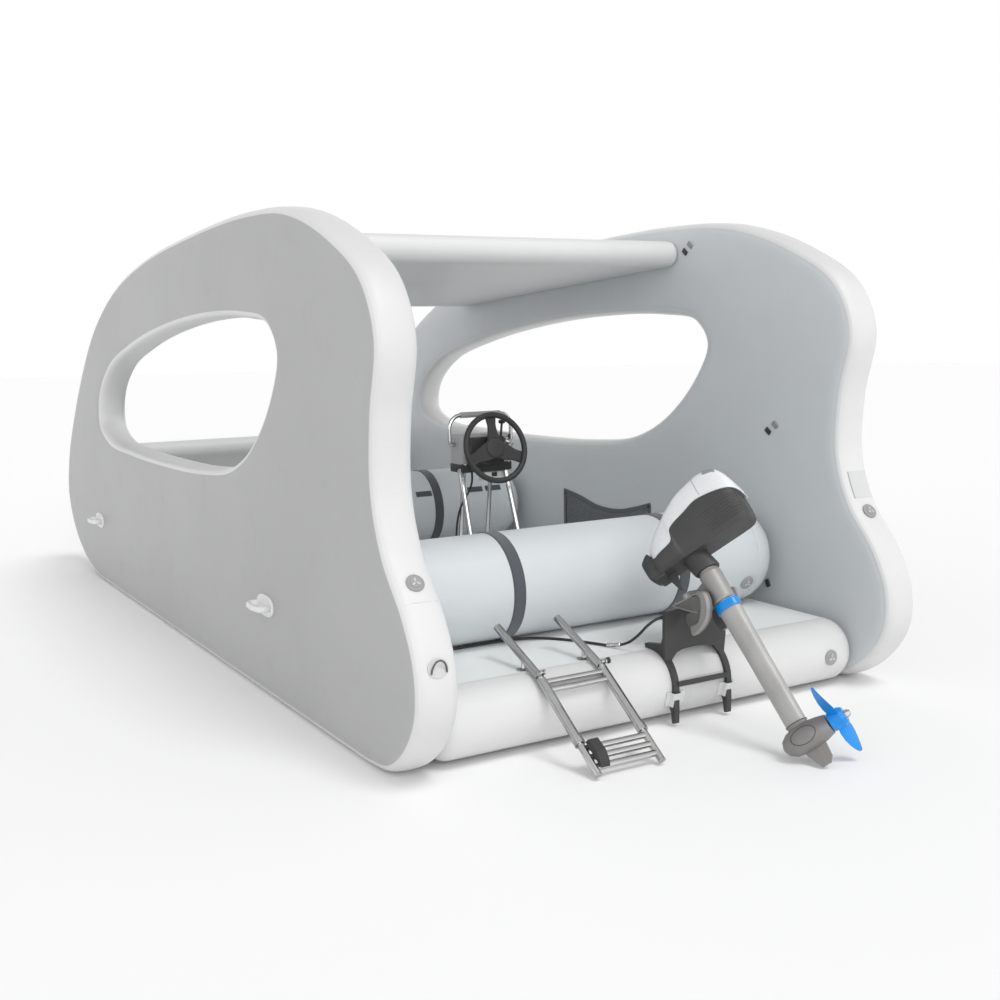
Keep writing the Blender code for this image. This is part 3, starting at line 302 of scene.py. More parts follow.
def arc(centre, radius, start, end, steps):
    """2-D points on an arc, angles in degrees."""
    made = []
    for i in range(steps + 1):
        angle = math.radians(start + (end - start) * i / steps)
        made.append(Vector((centre[0] + radius * math.cos(angle),
                            centre[1] + radius * math.sin(angle))))
    return made


def smooth(mesh, angle=32):
    """Shades a mesh smooth, with the edges above an angle in degrees left sharp."""
    mesh.shade_smooth()
    mesh.set_sharp_from_angle(angle=math.radians(angle))
    return mesh


def outward(mesh):
    """Turns the faces of a closed mesh to point outwards."""
    bm = bmesh.new()
    bm.from_mesh(mesh)
    bmesh.ops.recalc_face_normals(bm, faces=bm.faces)
    bm.to_mesh(mesh)
    bm.free()
    return mesh


def loft(name, rings, loop=False):
    """A closed skin over equal rings, with flat ends, or joined end to end where loop is true."""
    count = len(rings[0])
    levels = len(rings)
    vertices = [tuple(point) for ring in rings for point in ring]
    faces = []
    for level in range(levels if loop else levels - 1):
        low = level * count
        high = (level + 1) % levels * count
        for i in range(count):
            j = (i + 1) % count
            faces.append((low + i, low + j, high + j, high + i))
    if not loop:
        faces.append(tuple(range(count))[::-1])
        faces.append(tuple(range(len(vertices) - count, len(vertices))))
    mesh = bpy.data.meshes.new(name)
    mesh.from_pydata(vertices, [], faces)
    return smooth(outward(mesh))


def oval(width, length, y, z, count=40):
    """A flat ring of points about (0, y), width along X and length along Y, both half sizes."""
    ring = []
    for i in range(count):
        angle = math.tau * i / count
        ring.append(Vector((width * math.cos(angle), y + length * math.sin(angle), z)))
    return ring


def turned(name, profile, segments=32, matrix=None):
    """A solid of revolution about Z through (radius, height) points."""
    mesh = loft(name, [oval(radius, radius, 0, height, segments) for radius, height in profile])
    if matrix is not None:
        mesh.transform(matrix)
    return mesh


def along(start, direction, up=(0, 0, 1)):
    """Matrix that puts local Z along a direction from a start point, with local Y towards up."""
    z = Vector(direction).normalized()
    y = Vector(up) - z * z.dot(Vector(up))
    if y.length < 1e-4:
        y = z.orthogonal()
    y.normalize()
    x = y.cross(z)
    matrix = Matrix((x, y, z)).transposed().to_4x4()
    matrix.translation = Vector(start)
    return matrix


def rod(name, start, end, radius, segments=20, edge=0.0):
    """A round bar from start to end, with its rims broken by edge."""
    start = Vector(start)
    end = Vector(end)
    length = (end - start).length
    profile = [(radius, 0.0), (radius, length)]
    if edge:
        low = [(radius - edge, 0.0), (radius - edge * 0.3, edge * 0.3), (radius, edge)]
        profile = low + [(r, length - height) for r, height in low[::-1]]
    return turned(name, profile, segments, along(start, end - start))


def swept(name, points, radius, segments=12, loop=False):
    """A round tube along 3-D points."""
    points = [Vector(point) for point in points]
    count = len(points)
    rings = []
    side = None
    for i, point in enumerate(points):
        after = points[(i + 1) % count] if loop else points[min(i + 1, count - 1)]
        before = points[i - 1] if loop or i else points[0]
        tangent = (after - before).normalized()
        side = tangent.orthogonal() if side is None else side - tangent * side.dot(tangent)
        side = side.normalized()
        other = tangent.cross(side)
        rings.append([point + radius * (math.cos(a) * side + math.sin(a) * other)
                      for a in (math.tau * k / segments for k in range(segments))])
    return loft(name, rings, loop)


def rounded_block(name, low, high, bevel, segments=3):
    """A box with round edges."""
    bm = bmesh.new()
    for corner in [(x, y, z) for x in (low[0], high[0]) for y in (low[1], high[1])
                   for z in (low[2], high[2])]:
        bm.verts.new(corner)
    bmesh.ops.convex_hull(bm, input=bm.verts)
    bmesh.ops.dissolve_limit(bm, angle_limit=0.01, verts=bm.verts, edges=bm.edges)
    bmesh.ops.bevel(bm, geom=bm.edges, offset=bevel, segments=segments, profile=0.5,
                    affect="EDGES")
    bmesh.ops.recalc_face_normals(bm, faces=bm.faces)
    mesh = bpy.data.meshes.new(name)
    bm.to_mesh(mesh)
    bm.free()
    return smooth(mesh)


def plate(name, outline, low, high, bevel=0.0):
    """A flat outline in XY between two heights, with its edges broken by bevel."""
    outline = [Vector(point) for point in outline]
    rings = [(low, outline), (high - bevel, outline)]
    if bevel:
        rings.append((high, offset(outline, -bevel)))
    return loft(name, [[(p.x, p.y, z) for p in points] for z, points in rings])


def strap(name, path, facing, width, thickness):
    """Flat webbing along a path of points; facing gives each point's outward direction.

    Its UV map runs in metres along and across the webbing."""
    path = [Vector(point) for point in path]
    rings = []
    run = [0.0]
    for i, point in enumerate(path):
        tangent = (path[min(i + 1, len(path) - 1)] - path[max(i - 1, 0)]).normalized()
        normal = Vector(facing[i])
        normal = (normal - tangent * normal.dot(tangent)).normalized()
        side = tangent.cross(normal) * (width / 2)
        lift = normal * thickness
        rings.append([point - side, point - side * 0.96 + lift, point + side * 0.96 + lift,
                      point + side])
        if i:
            run.append(run[-1] + (point - path[i - 1]).length)
    mesh = loft(name, rings)
    across = (0.0, width * 0.02, width * 0.98, width)
    layer = mesh.uv_layers.new(name="UVMap")
    for loop in mesh.loops:
        level, corner = divmod(loop.vertex_index, 4)
        layer.data[loop.index].uv = (run[level], across[corner])
    return mesh


def joined(name, meshes):
    """Several closed meshes as one mesh, whose faces keep their material indices."""
    bm = bmesh.new()
    for mesh in meshes:
        bm.from_mesh(mesh)
    result = bpy.data.meshes.new(name)
    bm.to_mesh(result)
    bm.free()
    return result


def linked(name, data):
    """A new object of the scene."""
    obj = bpy.data.objects.new(name, data)
    bpy.context.scene.collection.objects.link(obj)
    return obj


def result_of(obj):
    """The plain mesh that an object's modifiers make."""
    bpy.context.view_layer.update()
    depsgraph = bpy.context.evaluated_depsgraph_get()
    return bpy.data.meshes.new_from_object(obj.evaluated_get(depsgraph))


GROUPS = {}
MATERIALS = {}
TREES = {}


def piece(name, mesh, finish, body="hull", replaces=(), place=None, sharp=None):
    """Links a mesh, or a list of them as one, as a piece that rides on a body of the frame.

    Finish names its material, or lists the names that its faces choose from. Place moves the
    mesh first, and sharp shades it smooth up to that angle."""
    if isinstance(mesh, list):
        mesh = joined(name, mesh)
    if place is not None:
        mesh.transform(place)
    if sharp is not None:
        smooth(mesh, sharp)
    obj = linked(name, mesh)
    mesh.name = name
    finishes = [finish] if isinstance(finish, str) else finish
    last = len(finishes) - 1
    chosen = [min(polygon.material_index, last) for polygon in mesh.polygons]
    mesh.materials.clear()
    for word in finishes:
        mesh.materials.append(MATERIALS[word])
    mesh.polygons.foreach_set("material_index", chosen)
    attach(obj, body)
    if replaces:
        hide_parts(*replaces)
    return obj


def dress(finish, *names):
    """Gives nodes of the frame their finish."""
    for name in names:
        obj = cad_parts[name]
        if not obj.material_slots:
            obj.data.materials.append(MATERIALS[finish])
        for slot in obj.material_slots:
            slot.material = MATERIALS[finish]


# Node groups

def new_group(name, inputs, outputs, kind="ShaderNodeTree"):
    """A node group, the sockets that feed it and the sockets that take its results."""
    group = bpy.data.node_groups.new(name, kind)
    for label, value, default in inputs:
        socket = group.interface.new_socket(label, in_out="INPUT",
                                            socket_type="NodeSocket" + value)
        if default is not None:
            socket.default_value = default
    for label, value in outputs:
        group.interface.new_socket(label, in_out="OUTPUT", socket_type="NodeSocket" + value)
    given = group.nodes.new("NodeGroupInput").outputs
    return group, given, group.nodes.new("NodeGroupOutput").inputs


def feed(tree, socket, value):
    """Links a node's output to a socket, or sets the socket to a plain value."""
    if isinstance(value, bpy.types.NodeSocket):
        tree.links.new(value, socket)
    else:
        socket.default_value = value


def node(tree, kind, values=(), **settings):
    """Adds a node, sets its properties and feeds its named inputs."""
    made = tree.nodes.new(kind)
    for key, value in settings.items():
        setattr(made, key, value)
    for key, value in dict(values).items():
        feed(tree, made.inputs[key], value)
    return made


def math_node(tree, operation, a, b):
    """The result of a sum on two numbers or outputs."""
    made = node(tree, "ShaderNodeMath", operation=operation)
    feed(tree, made.inputs[0], a)
    feed(tree, made.inputs[1], b)
    return made.outputs[0]


def ranged(tree, value, low=0.0, high=1.0, first=0.0, last=1.0):
    """A value between first and last, spread from low to high."""
    made = node(tree, "ShaderNodeMapRange", {"Value": value, "From Min": first, "From Max": last,
                                             "To Min": low, "To Max": high})
    return made.outputs["Result"]


def mixed(tree, factor, a, b):
    """A colour between a and b."""
    made = node(tree, "ShaderNodeMix", data_type="RGBA")
    for index, value in ((0, factor), (6, a), (7, b)):
        feed(tree, made.inputs[index], value)
    return made.outputs[2]


def make_weave_group():
    """Thread and dimple relief of coated drop-stitch fabric, on any flat or round surface."""
    group, given, result = new_group(
        "coated_weave",
        [("Vector", "Vector", None), ("Thread Scale", "Float", 150.0),
         ("Dimple Scale", "Float", 42.0), ("Dimple Depth", "Float", 0.5)],
        [("Height", "Float")])
    heights = []
    for label in ("Thread Scale", "Dimple Scale"):
        total = None
        for axis in ("X", "Y", "Z"):
            wave = node(group, "ShaderNodeTexWave",
                        {"Vector": given["Vector"], "Scale": given[label]},
                        bands_direction=axis, wave_profile="SIN")
            value = wave.outputs["Fac"]
            total = value if total is None else math_node(group, "ADD", total, value)
        heights.append(total)
    dimple = math_node(group, "MULTIPLY", heights[1], given["Dimple Depth"])
    feed(group, result["Height"], math_node(group, "ADD", heights[0], dimple))
    return group


def make_mottle_group():
    """Slow and fine change of tone, with handling marks, on a coated or moulded surface."""
    group, given, result = new_group(
        "tone_mottle",
        [("Vector", "Vector", None), ("Tone A", "Color", (0.8, 0.8, 0.8, 1)),
         ("Tone B", "Color", (0.7, 0.7, 0.7, 1)), ("Mark Tone", "Color", (0.5, 0.5, 0.5, 1)),
         ("Cloud Scale", "Float", 1.4), ("Mark Scale", "Float", 9.0), ("Marks", "Float", 0.2)],
        [("Color", "Color"), ("Mark", "Float")])
    cloud = node(group, "ShaderNodeTexNoise", {
        "Vector": given["Vector"], "Scale": given["Cloud Scale"], "Detail": 4.0,
        "Roughness": 0.55})
    mark = node(group, "ShaderNodeTexNoise", {
        "Vector": given["Vector"], "Scale": given["Mark Scale"], "Detail": 6.0,
        "Roughness": 0.7, "Distortion": 0.6})
    clouds = ranged(group, cloud.outputs["Fac"], first=0.35, last=0.65)
    spots = ranged(group, mark.outputs["Fac"], first=0.56, last=0.78)
    amount = math_node(group, "MULTIPLY", spots, given["Marks"])
    base = mixed(group, clouds, given["Tone A"], given["Tone B"])
    feed(group, result["Color"], mixed(group, amount, base, given["Mark Tone"]))
    feed(group, result["Mark"], spots)
    return group


def make_scuff_group():
    """Fine directional scratches and dull patches for metal and hard plastic."""
    group, given, result = new_group(
        "scuffs",
        [("Vector", "Vector", None), ("Stretch", "Vector", (1, 1, 1)), ("Scale", "Float", 120.0)],
        [("Scratch", "Float"), ("Dull", "Float")])
    mapping = node(group, "ShaderNodeMapping",
                   {"Vector": given["Vector"], "Scale": given["Stretch"]})
    fine = node(group, "ShaderNodeTexNoise", {
        "Vector": mapping.outputs["Vector"], "Scale": given["Scale"], "Detail": 8.0,
        "Roughness": 0.75})
    broad = node(group, "ShaderNodeTexNoise", {
        "Vector": given["Vector"], "Scale": 14.0, "Detail": 5.0, "Roughness": 0.6})
    feed(group, result["Scratch"], fine.outputs["Fac"])
    feed(group, result["Dull"], broad.outputs["Fac"])
    return group


# Materials

def group_node(tree, name, values):
    """A copy of a shared shader group, with its inputs fed."""
    return node(tree, "ShaderNodeGroup", values, node_tree=GROUPS[name])


def start_material(name, values, space="Object"):
    """A new material: its tree, its shader's inputs and the coordinates of a space."""
    material = bpy.data.materials.new(name)
    material.use_nodes = True
    tree = material.node_tree
    inputs = tree.nodes["Principled BSDF"].inputs
    for key, value in values.items():
        inputs[key].default_value = value
    MATERIALS[name] = material
    return tree, inputs, node(tree, "ShaderNodeTexCoord").outputs[space]


def add_bump(tree, inputs, height, distance, strength=1.0, below=None):
    """Adds relief to a shader, over the relief below where there is one."""
    values = {"Distance": distance, "Strength": strength, "Height": height}
    if below is not None:
        values["Normal"] = below
    bump = node(tree, "ShaderNodeBump", values)
    feed(tree, inputs["Normal"], bump.outputs["Normal"])
    return bump.outputs["Normal"]


def shade(colour, factor):
    """A colour times a factor, with full alpha."""
    return tuple(min(1.0, c * factor) for c in colour[:3]) + (1.0,)


def fabric_material(name, colour, roughness=(0.40, 0.55), relief=0.00025, marks=0.12,
                    dimple=0.5, wrinkle=0.004):
    """Coated fabric: woven relief, soft wrinkles, slow change of tone and a slight gloss."""
    tree, inputs, place = start_material(name, {
        "Specular IOR Level": 0.42, "Coat Weight": 0.06, "Coat Roughness": 0.35})
    mottle = group_node(tree, "tone_mottle", {
        "Vector": place, "Tone A": shade(colour, 1.02), "Tone B": shade(colour, 0.965),
        "Mark Tone": shade(colour, 0.80), "Marks": marks})
    feed(tree, inputs["Base Color"], mottle.outputs["Color"])
    feed(tree, inputs["Roughness"], ranged(tree, mottle.outputs["Mark"], *roughness))
    folds = node(tree, "ShaderNodeTexNoise", {"Vector": place, "Scale": 3.2, "Detail": 2.0,
                                              "Roughness": 0.4})
    soft = add_bump(tree, inputs, folds.outputs["Fac"], wrinkle, 0.6)
    weave = group_node(tree, "coated_weave", {"Vector": place, "Dimple Depth": dimple})
    add_bump(tree, inputs, weave.outputs["Height"], relief, 0.5, soft)


def webbing_material(name, colour):
    """Woven strap: ribs across the run and a twill along it, from the strap's own UV map, with
    painted shade in the weave's grooves.
    """
    tree, inputs, place = start_material(name, {
        "Roughness": 0.85, "Sheen Weight": 0.35, "Sheen Roughness": 0.5}, "UV")
    ribs = node(tree, "ShaderNodeTexWave", {"Vector": place, "Scale": 130.0},
                bands_direction="X")
    twill = node(tree, "ShaderNodeTexWave", {"Vector": place, "Scale": 90.0, "Distortion": 1.0},
                 bands_direction="DIAGONAL")
    height = math_node(tree, "ADD", ribs.outputs["Fac"], twill.outputs["Fac"])
    # Painted shade: the colour darkens where the ribs and twill are low, in the grooves of the
    # weave
    tone = ranged(tree, height, 0.0, 0.5)
    feed(tree, inputs["Base Color"], mixed(tree, tone, shade(colour, 0.75), shade(colour, 1.5)))
    add_bump(tree, inputs, height, 0.0005, 0.8)


def metal_material(name, colour, roughness, stretch=(1, 1, 1), metallic=1.0, relief=0.00008,
                   edge=1.0):
    """Metal brushed along one direction, with duller, handled patches and painted dark reflection
    at grazing angles.
    """
    tree, inputs, place = start_material(name, {"Metallic": metallic})
    scuffs = group_node(tree, "scuffs", {"Vector": place, "Stretch": stretch})
    mottle = group_node(tree, "tone_mottle", {
        "Vector": place, "Tone A": shade(colour, 1.06), "Tone B": shade(colour, 0.9),
        "Mark Tone": shade(colour, 0.7), "Cloud Scale": 8.0, "Mark Scale": 40.0, "Marks": 0.35})
    # Painted reflection: towards grazing angles the base colour turns to the colour times edge,
    # standing in for dark surroundings that bright metal would mirror
    painted_reflection_weight = node(tree, "ShaderNodeLayerWeight", {"Blend": 0.48})
    tone = mixed(tree, painted_reflection_weight.outputs["Facing"], mottle.outputs["Color"], shade(colour, edge))
    feed(tree, inputs["Base Color"], tone)
    feed(tree, inputs["Roughness"], ranged(tree, scuffs.outputs["Dull"], *roughness))
    add_bump(tree, inputs, scuffs.outputs["Scratch"], relief, 0.5)


def plastic_material(name, colour, roughness, grain=0.0001, coat=0.0):
    """Moulded plastic: fine pebble grain, slow tone change and worn, smoother patches."""
    tree, inputs, place = start_material(name, {
        "Specular IOR Level": 0.45, "Coat Weight": coat, "Coat Roughness": 0.12})
    mottle = group_node(tree, "tone_mottle", {
        "Vector": place, "Tone A": shade(colour, 1.03), "Tone B": shade(colour, 0.94),
        "Mark Tone": shade(colour, 0.82), "Cloud Scale": 5.0, "Mark Scale": 30.0, "Marks": 0.3})
    feed(tree, inputs["Base Color"], mottle.outputs["Color"])
    scuffs = group_node(tree, "scuffs", {"Vector": place, "Scale": 60.0})
    feed(tree, inputs["Roughness"], ranged(tree, scuffs.outputs["Dull"], *roughness))
    pebble = node(tree, "ShaderNodeTexVoronoi", {"Vector": place, "Scale": 700.0})
    add_bump(tree, inputs, pebble.outputs["Distance"], grain, 0.6)


def make_materials(hull, gear):
    """All shader groups and materials."""
    GROUPS["coated_weave"] = make_weave_group()
    GROUPS["tone_mottle"] = make_mottle_group()
    GROUPS["scuffs"] = make_scuff_group()
    fabric_material("wall_face", hull.face_colour)
    # Inner faces: the face fabric painted lighter, standing in for light that the shaded inside of
    # the hull lacks
    fabric_material("wall_inside_lightened", hull.inside_lightened_colour)
    fabric_material("wall_band", hull.band_colour, roughness=(0.36, 0.48), marks=0.06, dimple=0.1)
    fabric_material("seam_tape", hull.band_colour, (0.34, 0.45), 0.0001, 0.05, 0.1, 0.0)
    fabric_material("deck_top", hull.deck_colour, (0.5, 0.7), 0.0006, 0.25, 1.5)
    fabric_material("bench_skin", hull.bench_colour, (0.34, 0.48), 0.0002, 0.08, 0.1)
    fabric_material("patch_fabric", shade(hull.band_colour, 0.88), (0.45, 0.6), 0.0003, 0.2, 0.1,
                    0.0)
    fabric_material("placard_film", (0.60, 0.61, 0.61), (0.3, 0.4), 0.00005, 0.25, 0.0, 0.0)
    fabric_material("placard_edge", (0.36, 0.37, 0.38), (0.3, 0.4), 0.00005, 0.1, 0.0, 0.0)
    webbing_material("dark_webbing", gear.webbing_colour)
    webbing_material("pale_webbing", (0.62, 0.63, 0.63))
    # The edge factor sets the painted dark reflection at grazing angles: strong on steel_tube,
    # milder on dark_steel
    metal_material("steel_tube", (0.86, 0.855, 0.85), (0.10, 0.24), (1, 12, 12), edge=0.06)
    metal_material("dark_steel", (0.16, 0.16, 0.16), (0.2, 0.35), (1, 12, 12), edge=0.5)
    metal_material("cast_alloy", (0.37, 0.36, 0.35), (0.42, 0.65), relief=0.0004, metallic=0.55)
    metal_material("leg_alloy", (0.40, 0.395, 0.39), (0.38, 0.52), (20, 20, 1), metallic=0.25)
    metal_material("cast_recess", (0.20, 0.195, 0.19), (0.5, 0.7), relief=0.0006, metallic=0.45)
    metal_material("pod_alloy", (0.245, 0.238, 0.233), (0.38, 0.52), metallic=0.25)
    metal_material("black_coat", (0.050, 0.050, 0.049), (0.32, 0.5), metallic=0.2)
    plastic_material("white_moulding", (0.80, 0.80, 0.80), (0.32, 0.5))
    plastic_material("console_moulding", (0.44, 0.445, 0.445), (0.32, 0.5))
    plastic_material("black_moulding", (0.036, 0.036, 0.035), (0.4, 0.6), 0.0002)
    plastic_material("battery_moulding", (0.052, 0.052, 0.051), (0.42, 0.6), 0.0002)
    plastic_material("grey_moulding", (0.27, 0.275, 0.28), (0.4, 0.55))
    plastic_material("cowl_gloss", (0.76, 0.775, 0.79), (0.2, 0.34), 0.00003, 0.35)
    plastic_material("grip_foam", (0.36, 0.36, 0.36), (0.6, 0.8), 0.0003)
    plastic_material("valve_moulding", (0.31, 0.31, 0.315), (0.4, 0.55))
    plastic_material("valve_slots", (0.56, 0.56, 0.56), (0.4, 0.55))
    plastic_material("blue_moulding", gear.propeller_colour, (0.28, 0.42), 0.00003, 0.2)
    plastic_material("cable_rubber", (0.03, 0.03, 0.032), (0.5, 0.7), 0.0001)
    plastic_material("thread", (0.55, 0.56, 0.56), (0.7, 0.85), 0.0001)


# Geometry Nodes trees

def new_tree(name, inputs):
    """A Geometry Nodes tree that takes geometry, the given inputs and a material."""
    inputs = [("Geometry", "Geometry", None), *inputs, ("Material", "Material", None)]
    return new_group(name, inputs, [("Geometry", "Geometry")], "GeometryNodeTree")


def finish_tree(tree, given, result, geometry):
    """Makes a tree's instances real and paints them."""
    real = node(tree, "GeometryNodeRealizeInstances", {"Geometry": geometry})
    paint = node(tree, "GeometryNodeSetMaterial",
                 {"Geometry": real.outputs["Geometry"], "Material": given["Material"]})
    feed(tree, result["Geometry"], paint.outputs["Geometry"])
    return tree


def turned_copies(tree, points, shape, direction):
    """Instances of a shape on points, with their Z turned to a direction."""
    turn = node(tree, "FunctionNodeAlignRotationToVector", {"Vector": direction}, axis="Z")
    copies = node(tree, "GeometryNodeInstanceOnPoints", {
        "Points": points, "Instance": shape.outputs["Mesh"],
        "Rotation": turn.outputs["Rotation"]})
    return copies.outputs["Instances"]


def make_screw_tree():
    """A domed screw head on each point, turned to the point's facing attribute."""
    tree, given, result = new_tree("screw_heads", [("Radius", "Float", 0.006),
                                                   ("Height", "Float", 0.003)])
    head = node(tree, "GeometryNodeMeshCone", {
        "Vertices": 20, "Side Segments": 1, "Radius Bottom": given["Radius"],
        "Radius Top": math_node(tree, "MULTIPLY", given["Radius"], 0.72),
        "Depth": given["Height"]})
    facing = node(tree, "GeometryNodeInputNamedAttribute", {"Name": "facing"},
                  data_type="FLOAT_VECTOR")
    copies = turned_copies(tree, given["Geometry"], head, facing.outputs["Attribute"])
    return finish_tree(tree, given, result, copies)


def make_stitch_tree():
    """Even stitches along every edge run of the mesh."""
    tree, given, result = new_tree("stitches", [("Pitch", "Float", 0.005),
                                                ("Thickness", "Float", 0.0009)])
    curve = node(tree, "GeometryNodeMeshToCurve", {"Mesh": given["Geometry"]})
    even = node(tree, "GeometryNodeResampleCurve",
                {"Curve": curve.outputs["Curve"], "Length": given["Pitch"]}, mode="LENGTH")
    stitch = node(tree, "GeometryNodeMeshCylinder", {
        "Vertices": 6, "Radius": given["Thickness"],
        "Depth": math_node(tree, "MULTIPLY", given["Pitch"], 0.66)})
    tangent = tree.nodes.new("GeometryNodeInputTangent").outputs["Tangent"]
    copies = turned_copies(tree, even.outputs["Curve"], stitch, tangent)
    return finish_tree(tree, given, result, copies)


def make_strand_tree():
    """A round strand along every edge run of the mesh."""
    tree, given, result = new_tree("net_strands", [("Strand Radius", "Float", 0.0006)])
    curve = node(tree, "GeometryNodeMeshToCurve", {"Mesh": given["Geometry"]})
    profile = node(tree, "GeometryNodeCurvePrimitiveCircle",
                   {"Resolution": 4, "Radius": given["Strand Radius"]})
    tube = node(tree, "GeometryNodeCurveToMesh", {
        "Fill Caps": True, "Curve": curve.outputs["Curve"],
        "Profile Curve": profile.outputs["Curve"]})
    return finish_tree(tree, given, result, tube.outputs["Mesh"])


def grown(name, vertices, edges, tree_name, values, finish, facing=None):
    """Runs a Geometry Nodes tree on points or edges, and keeps its result as a plain piece."""
    seed = bpy.data.meshes.new(name + "_seed")
    seed.from_pydata([tuple(v) for v in vertices], edges, [])
    if facing is not None:
        attribute = seed.attributes.new("facing", "FLOAT_VECTOR", "POINT")
        for item, direction in zip(attribute.data, facing):
            item.vector = direction
    source = linked(name + "_seed", seed)
    tree = TREES[tree_name]
    modifier = source.modifiers.new("grow", "NODES")
    modifier.node_group = tree
    values = dict(values, Material=MATERIALS[finish])
    for item in tree.interface.items_tree:
        if item.in_out == "INPUT" and item.name in values:
            modifier[item.identifier] = values[item.name]
    mesh = result_of(source)
    bpy.data.objects.remove(source, do_unlink=True)
    return piece(name, smooth(mesh), finish)


def chain(points, first=0):
    """Edges that join points in order."""
    return [(first + i, first + i + 1) for i in range(len(points) - 1)]


# Walls

def half_section(sense, bulge, steps=3):
    """(X, growth) of a wall's skin: the face towards its seam, then the round band."""
    face = [(WALL_HALF + FACE_SWELL * swell, -sense * inset)
            for swell, inset in ((1.0, 0.060), (0.94, 0.042), (0.66, 0.020), (0.0, 0.0))]
    band = [(WALL_HALF * width, bulge * grow)
            for width, grow in ((1.0, 0.0), (0.90, 0.45), (0.68, 0.80), (0.36, 0.96), (0.0, 1.0))]
    return curve_through(face, steps, closed=False), curve_through(band, steps, closed=False)


def wall_skin(name, seam, bulge, reach=0.0):
    """A wall's skin round a seam, with its faces moved further out by reach at their middle."""
    sense = 1 if bulge > 0 else -1
    face, band = half_section(sense, bulge)
    half = face + band[1:]
    section = [(-p.x, p.y) for p in half] + [(p.x, p.y) for p in half[-2::-1]]
    if reach:
        edge = section[0][1]
        section = [(-WALL_HALF - reach, edge)] + section + [(WALL_HALF + reach, edge)]
    rings = [[(x, p.x, p.y) for p in offset(seam, grow)] for x, grow in section]
    return loft(name, rings)


def soften(mesh, amount, scale, reach):
    """Moves a band's vertices a little in and out by smooth noise, fading towards its seams."""
    for vertex in mesh.vertices:
        fade = max(0.0, 1 - (vertex.co.x / reach) ** 2)
        vertex.co += vertex.normal * amount * fade * (noise.noise(vertex.co * scale) - 0.3)


def seam_tape(name, seam, bulge, side, width):
    """Thin tape over a seam, half on the face and half on the band, right round the outline."""
    sense = 1 if bulge > 0 else -1
    face, band = half_section(sense, bulge, 8)
    line = [p for p in face if abs(p.y) <= width * 0.25]
    line += [p for p in band[1:] if (p - band[0]).length <= width * 0.75]
    rings = []
    for lift in (0.0009, -0.0008):
        level = []
        for i, point in enumerate(line):
            step = line[min(i + 1, len(line) - 1)] - line[max(i - 1, 0)]
            normal = Vector((step.y, -step.x)).normalized()
            if normal.x < 0:
                normal = -normal
            edge = 0.25 if lift > 0 and i in (0, len(line) - 1) else 1.0
            level.append(point + normal * lift * edge)
        rings += level if lift > 0 else level[::-1]
    rings = [[(side * p.x, q.x, q.y) for q in offset(seam, p.y)] for p in rings]
    return loft(name, rings, loop=True)


def band_place(side, near, across=0.0, lift=0.0, steps=16):
    """A place on a wall's edge band nearest to (Y, Z), with its outward and upward directions."""
    seam = curve_through(WALL_SEAM, steps, closed=False)
    near = Vector(near)
    index = min(range(1, len(seam) - 1), key=lambda i: (seam[i] - near).length)
    along_seam = (seam[index + 1] - seam[index - 1]).normalized()
    outward = Vector((along_seam.y, -along_seam.x))
    band = half_section(1, BAND_BULGE, 8)[1]
    grow = min(band, key=lambda p: abs(p.x - abs(across))).y
    point = seam[index] + outward * (grow + lift)
    rise = -along_seam
    return (at(side * WALL_CENTRE + across, point.x, point.y), Vector((0, outward.x, outward.y)),
            Vector((0, rise.x, rise.y)))


def patch_mesh(name, top, lift):
    """A thin closed patch from a grid of rows of (place, outward) pairs."""
    rings = []
    for row in top:
        ring = [place + outward * (lift if 0 < k < len(row) - 1 else lift * 0.5)
                for k, (place, outward) in enumerate(row)]
        ring += [place - outward * 0.0010 for place, outward in row[::-1]]
        rings.append(ring)
    return loft(name, rings)


def band_patch(name, side, near, span, height, lift):
    """A patch that follows a wall's edge band, across it by span and height tall."""
    rows, columns = 4, 12
    near = Vector(near)
    rise = band_place(side, near)[2]
    top = []
    for i in range(rows + 1):
        shift = rise * height * (i / rows - 0.5)
        row = []
        for k in range(columns + 1):
            across = span[0] + (span[1] - span[0]) * k / columns
            place, facing, _ = band_place(side, near + shift.yz, across)
            turn = Vector((across / WALL_HALF * 0.6, 0, 0)) * abs(across) / WALL_HALF
            row.append((place, (facing + turn).normalized()))
        top.append(row)
    return patch_mesh(name, top, lift)


def paint_faces(mesh, chooser):
    """Gives each face the material index that a function chooses for it."""
    for polygon in mesh.polygons:
        polygon.material_index = chooser(polygon)


def cut_mesh(name, base, cutter):
    """Exact difference of two closed meshes."""
    objects = [linked(name, base), linked(name + "_cutter", cutter)]
    modifier = objects[0].modifiers.new("cut", "BOOLEAN")
    modifier.operation = "DIFFERENCE"
    modifier.object = objects[1]
    modifier.solver = "EXACT"
    mesh = result_of(objects[0])
    for obj in objects:
        bpy.data.objects.remove(obj, do_unlink=True)
    return mesh


def wall_paint(outwards):
    """Material index of a wall's outer face, inner face or edge band."""
    if abs(outwards) < WALL_HALF + 0.0002:
        return 2
    return 0 if outwards > 0 else 1


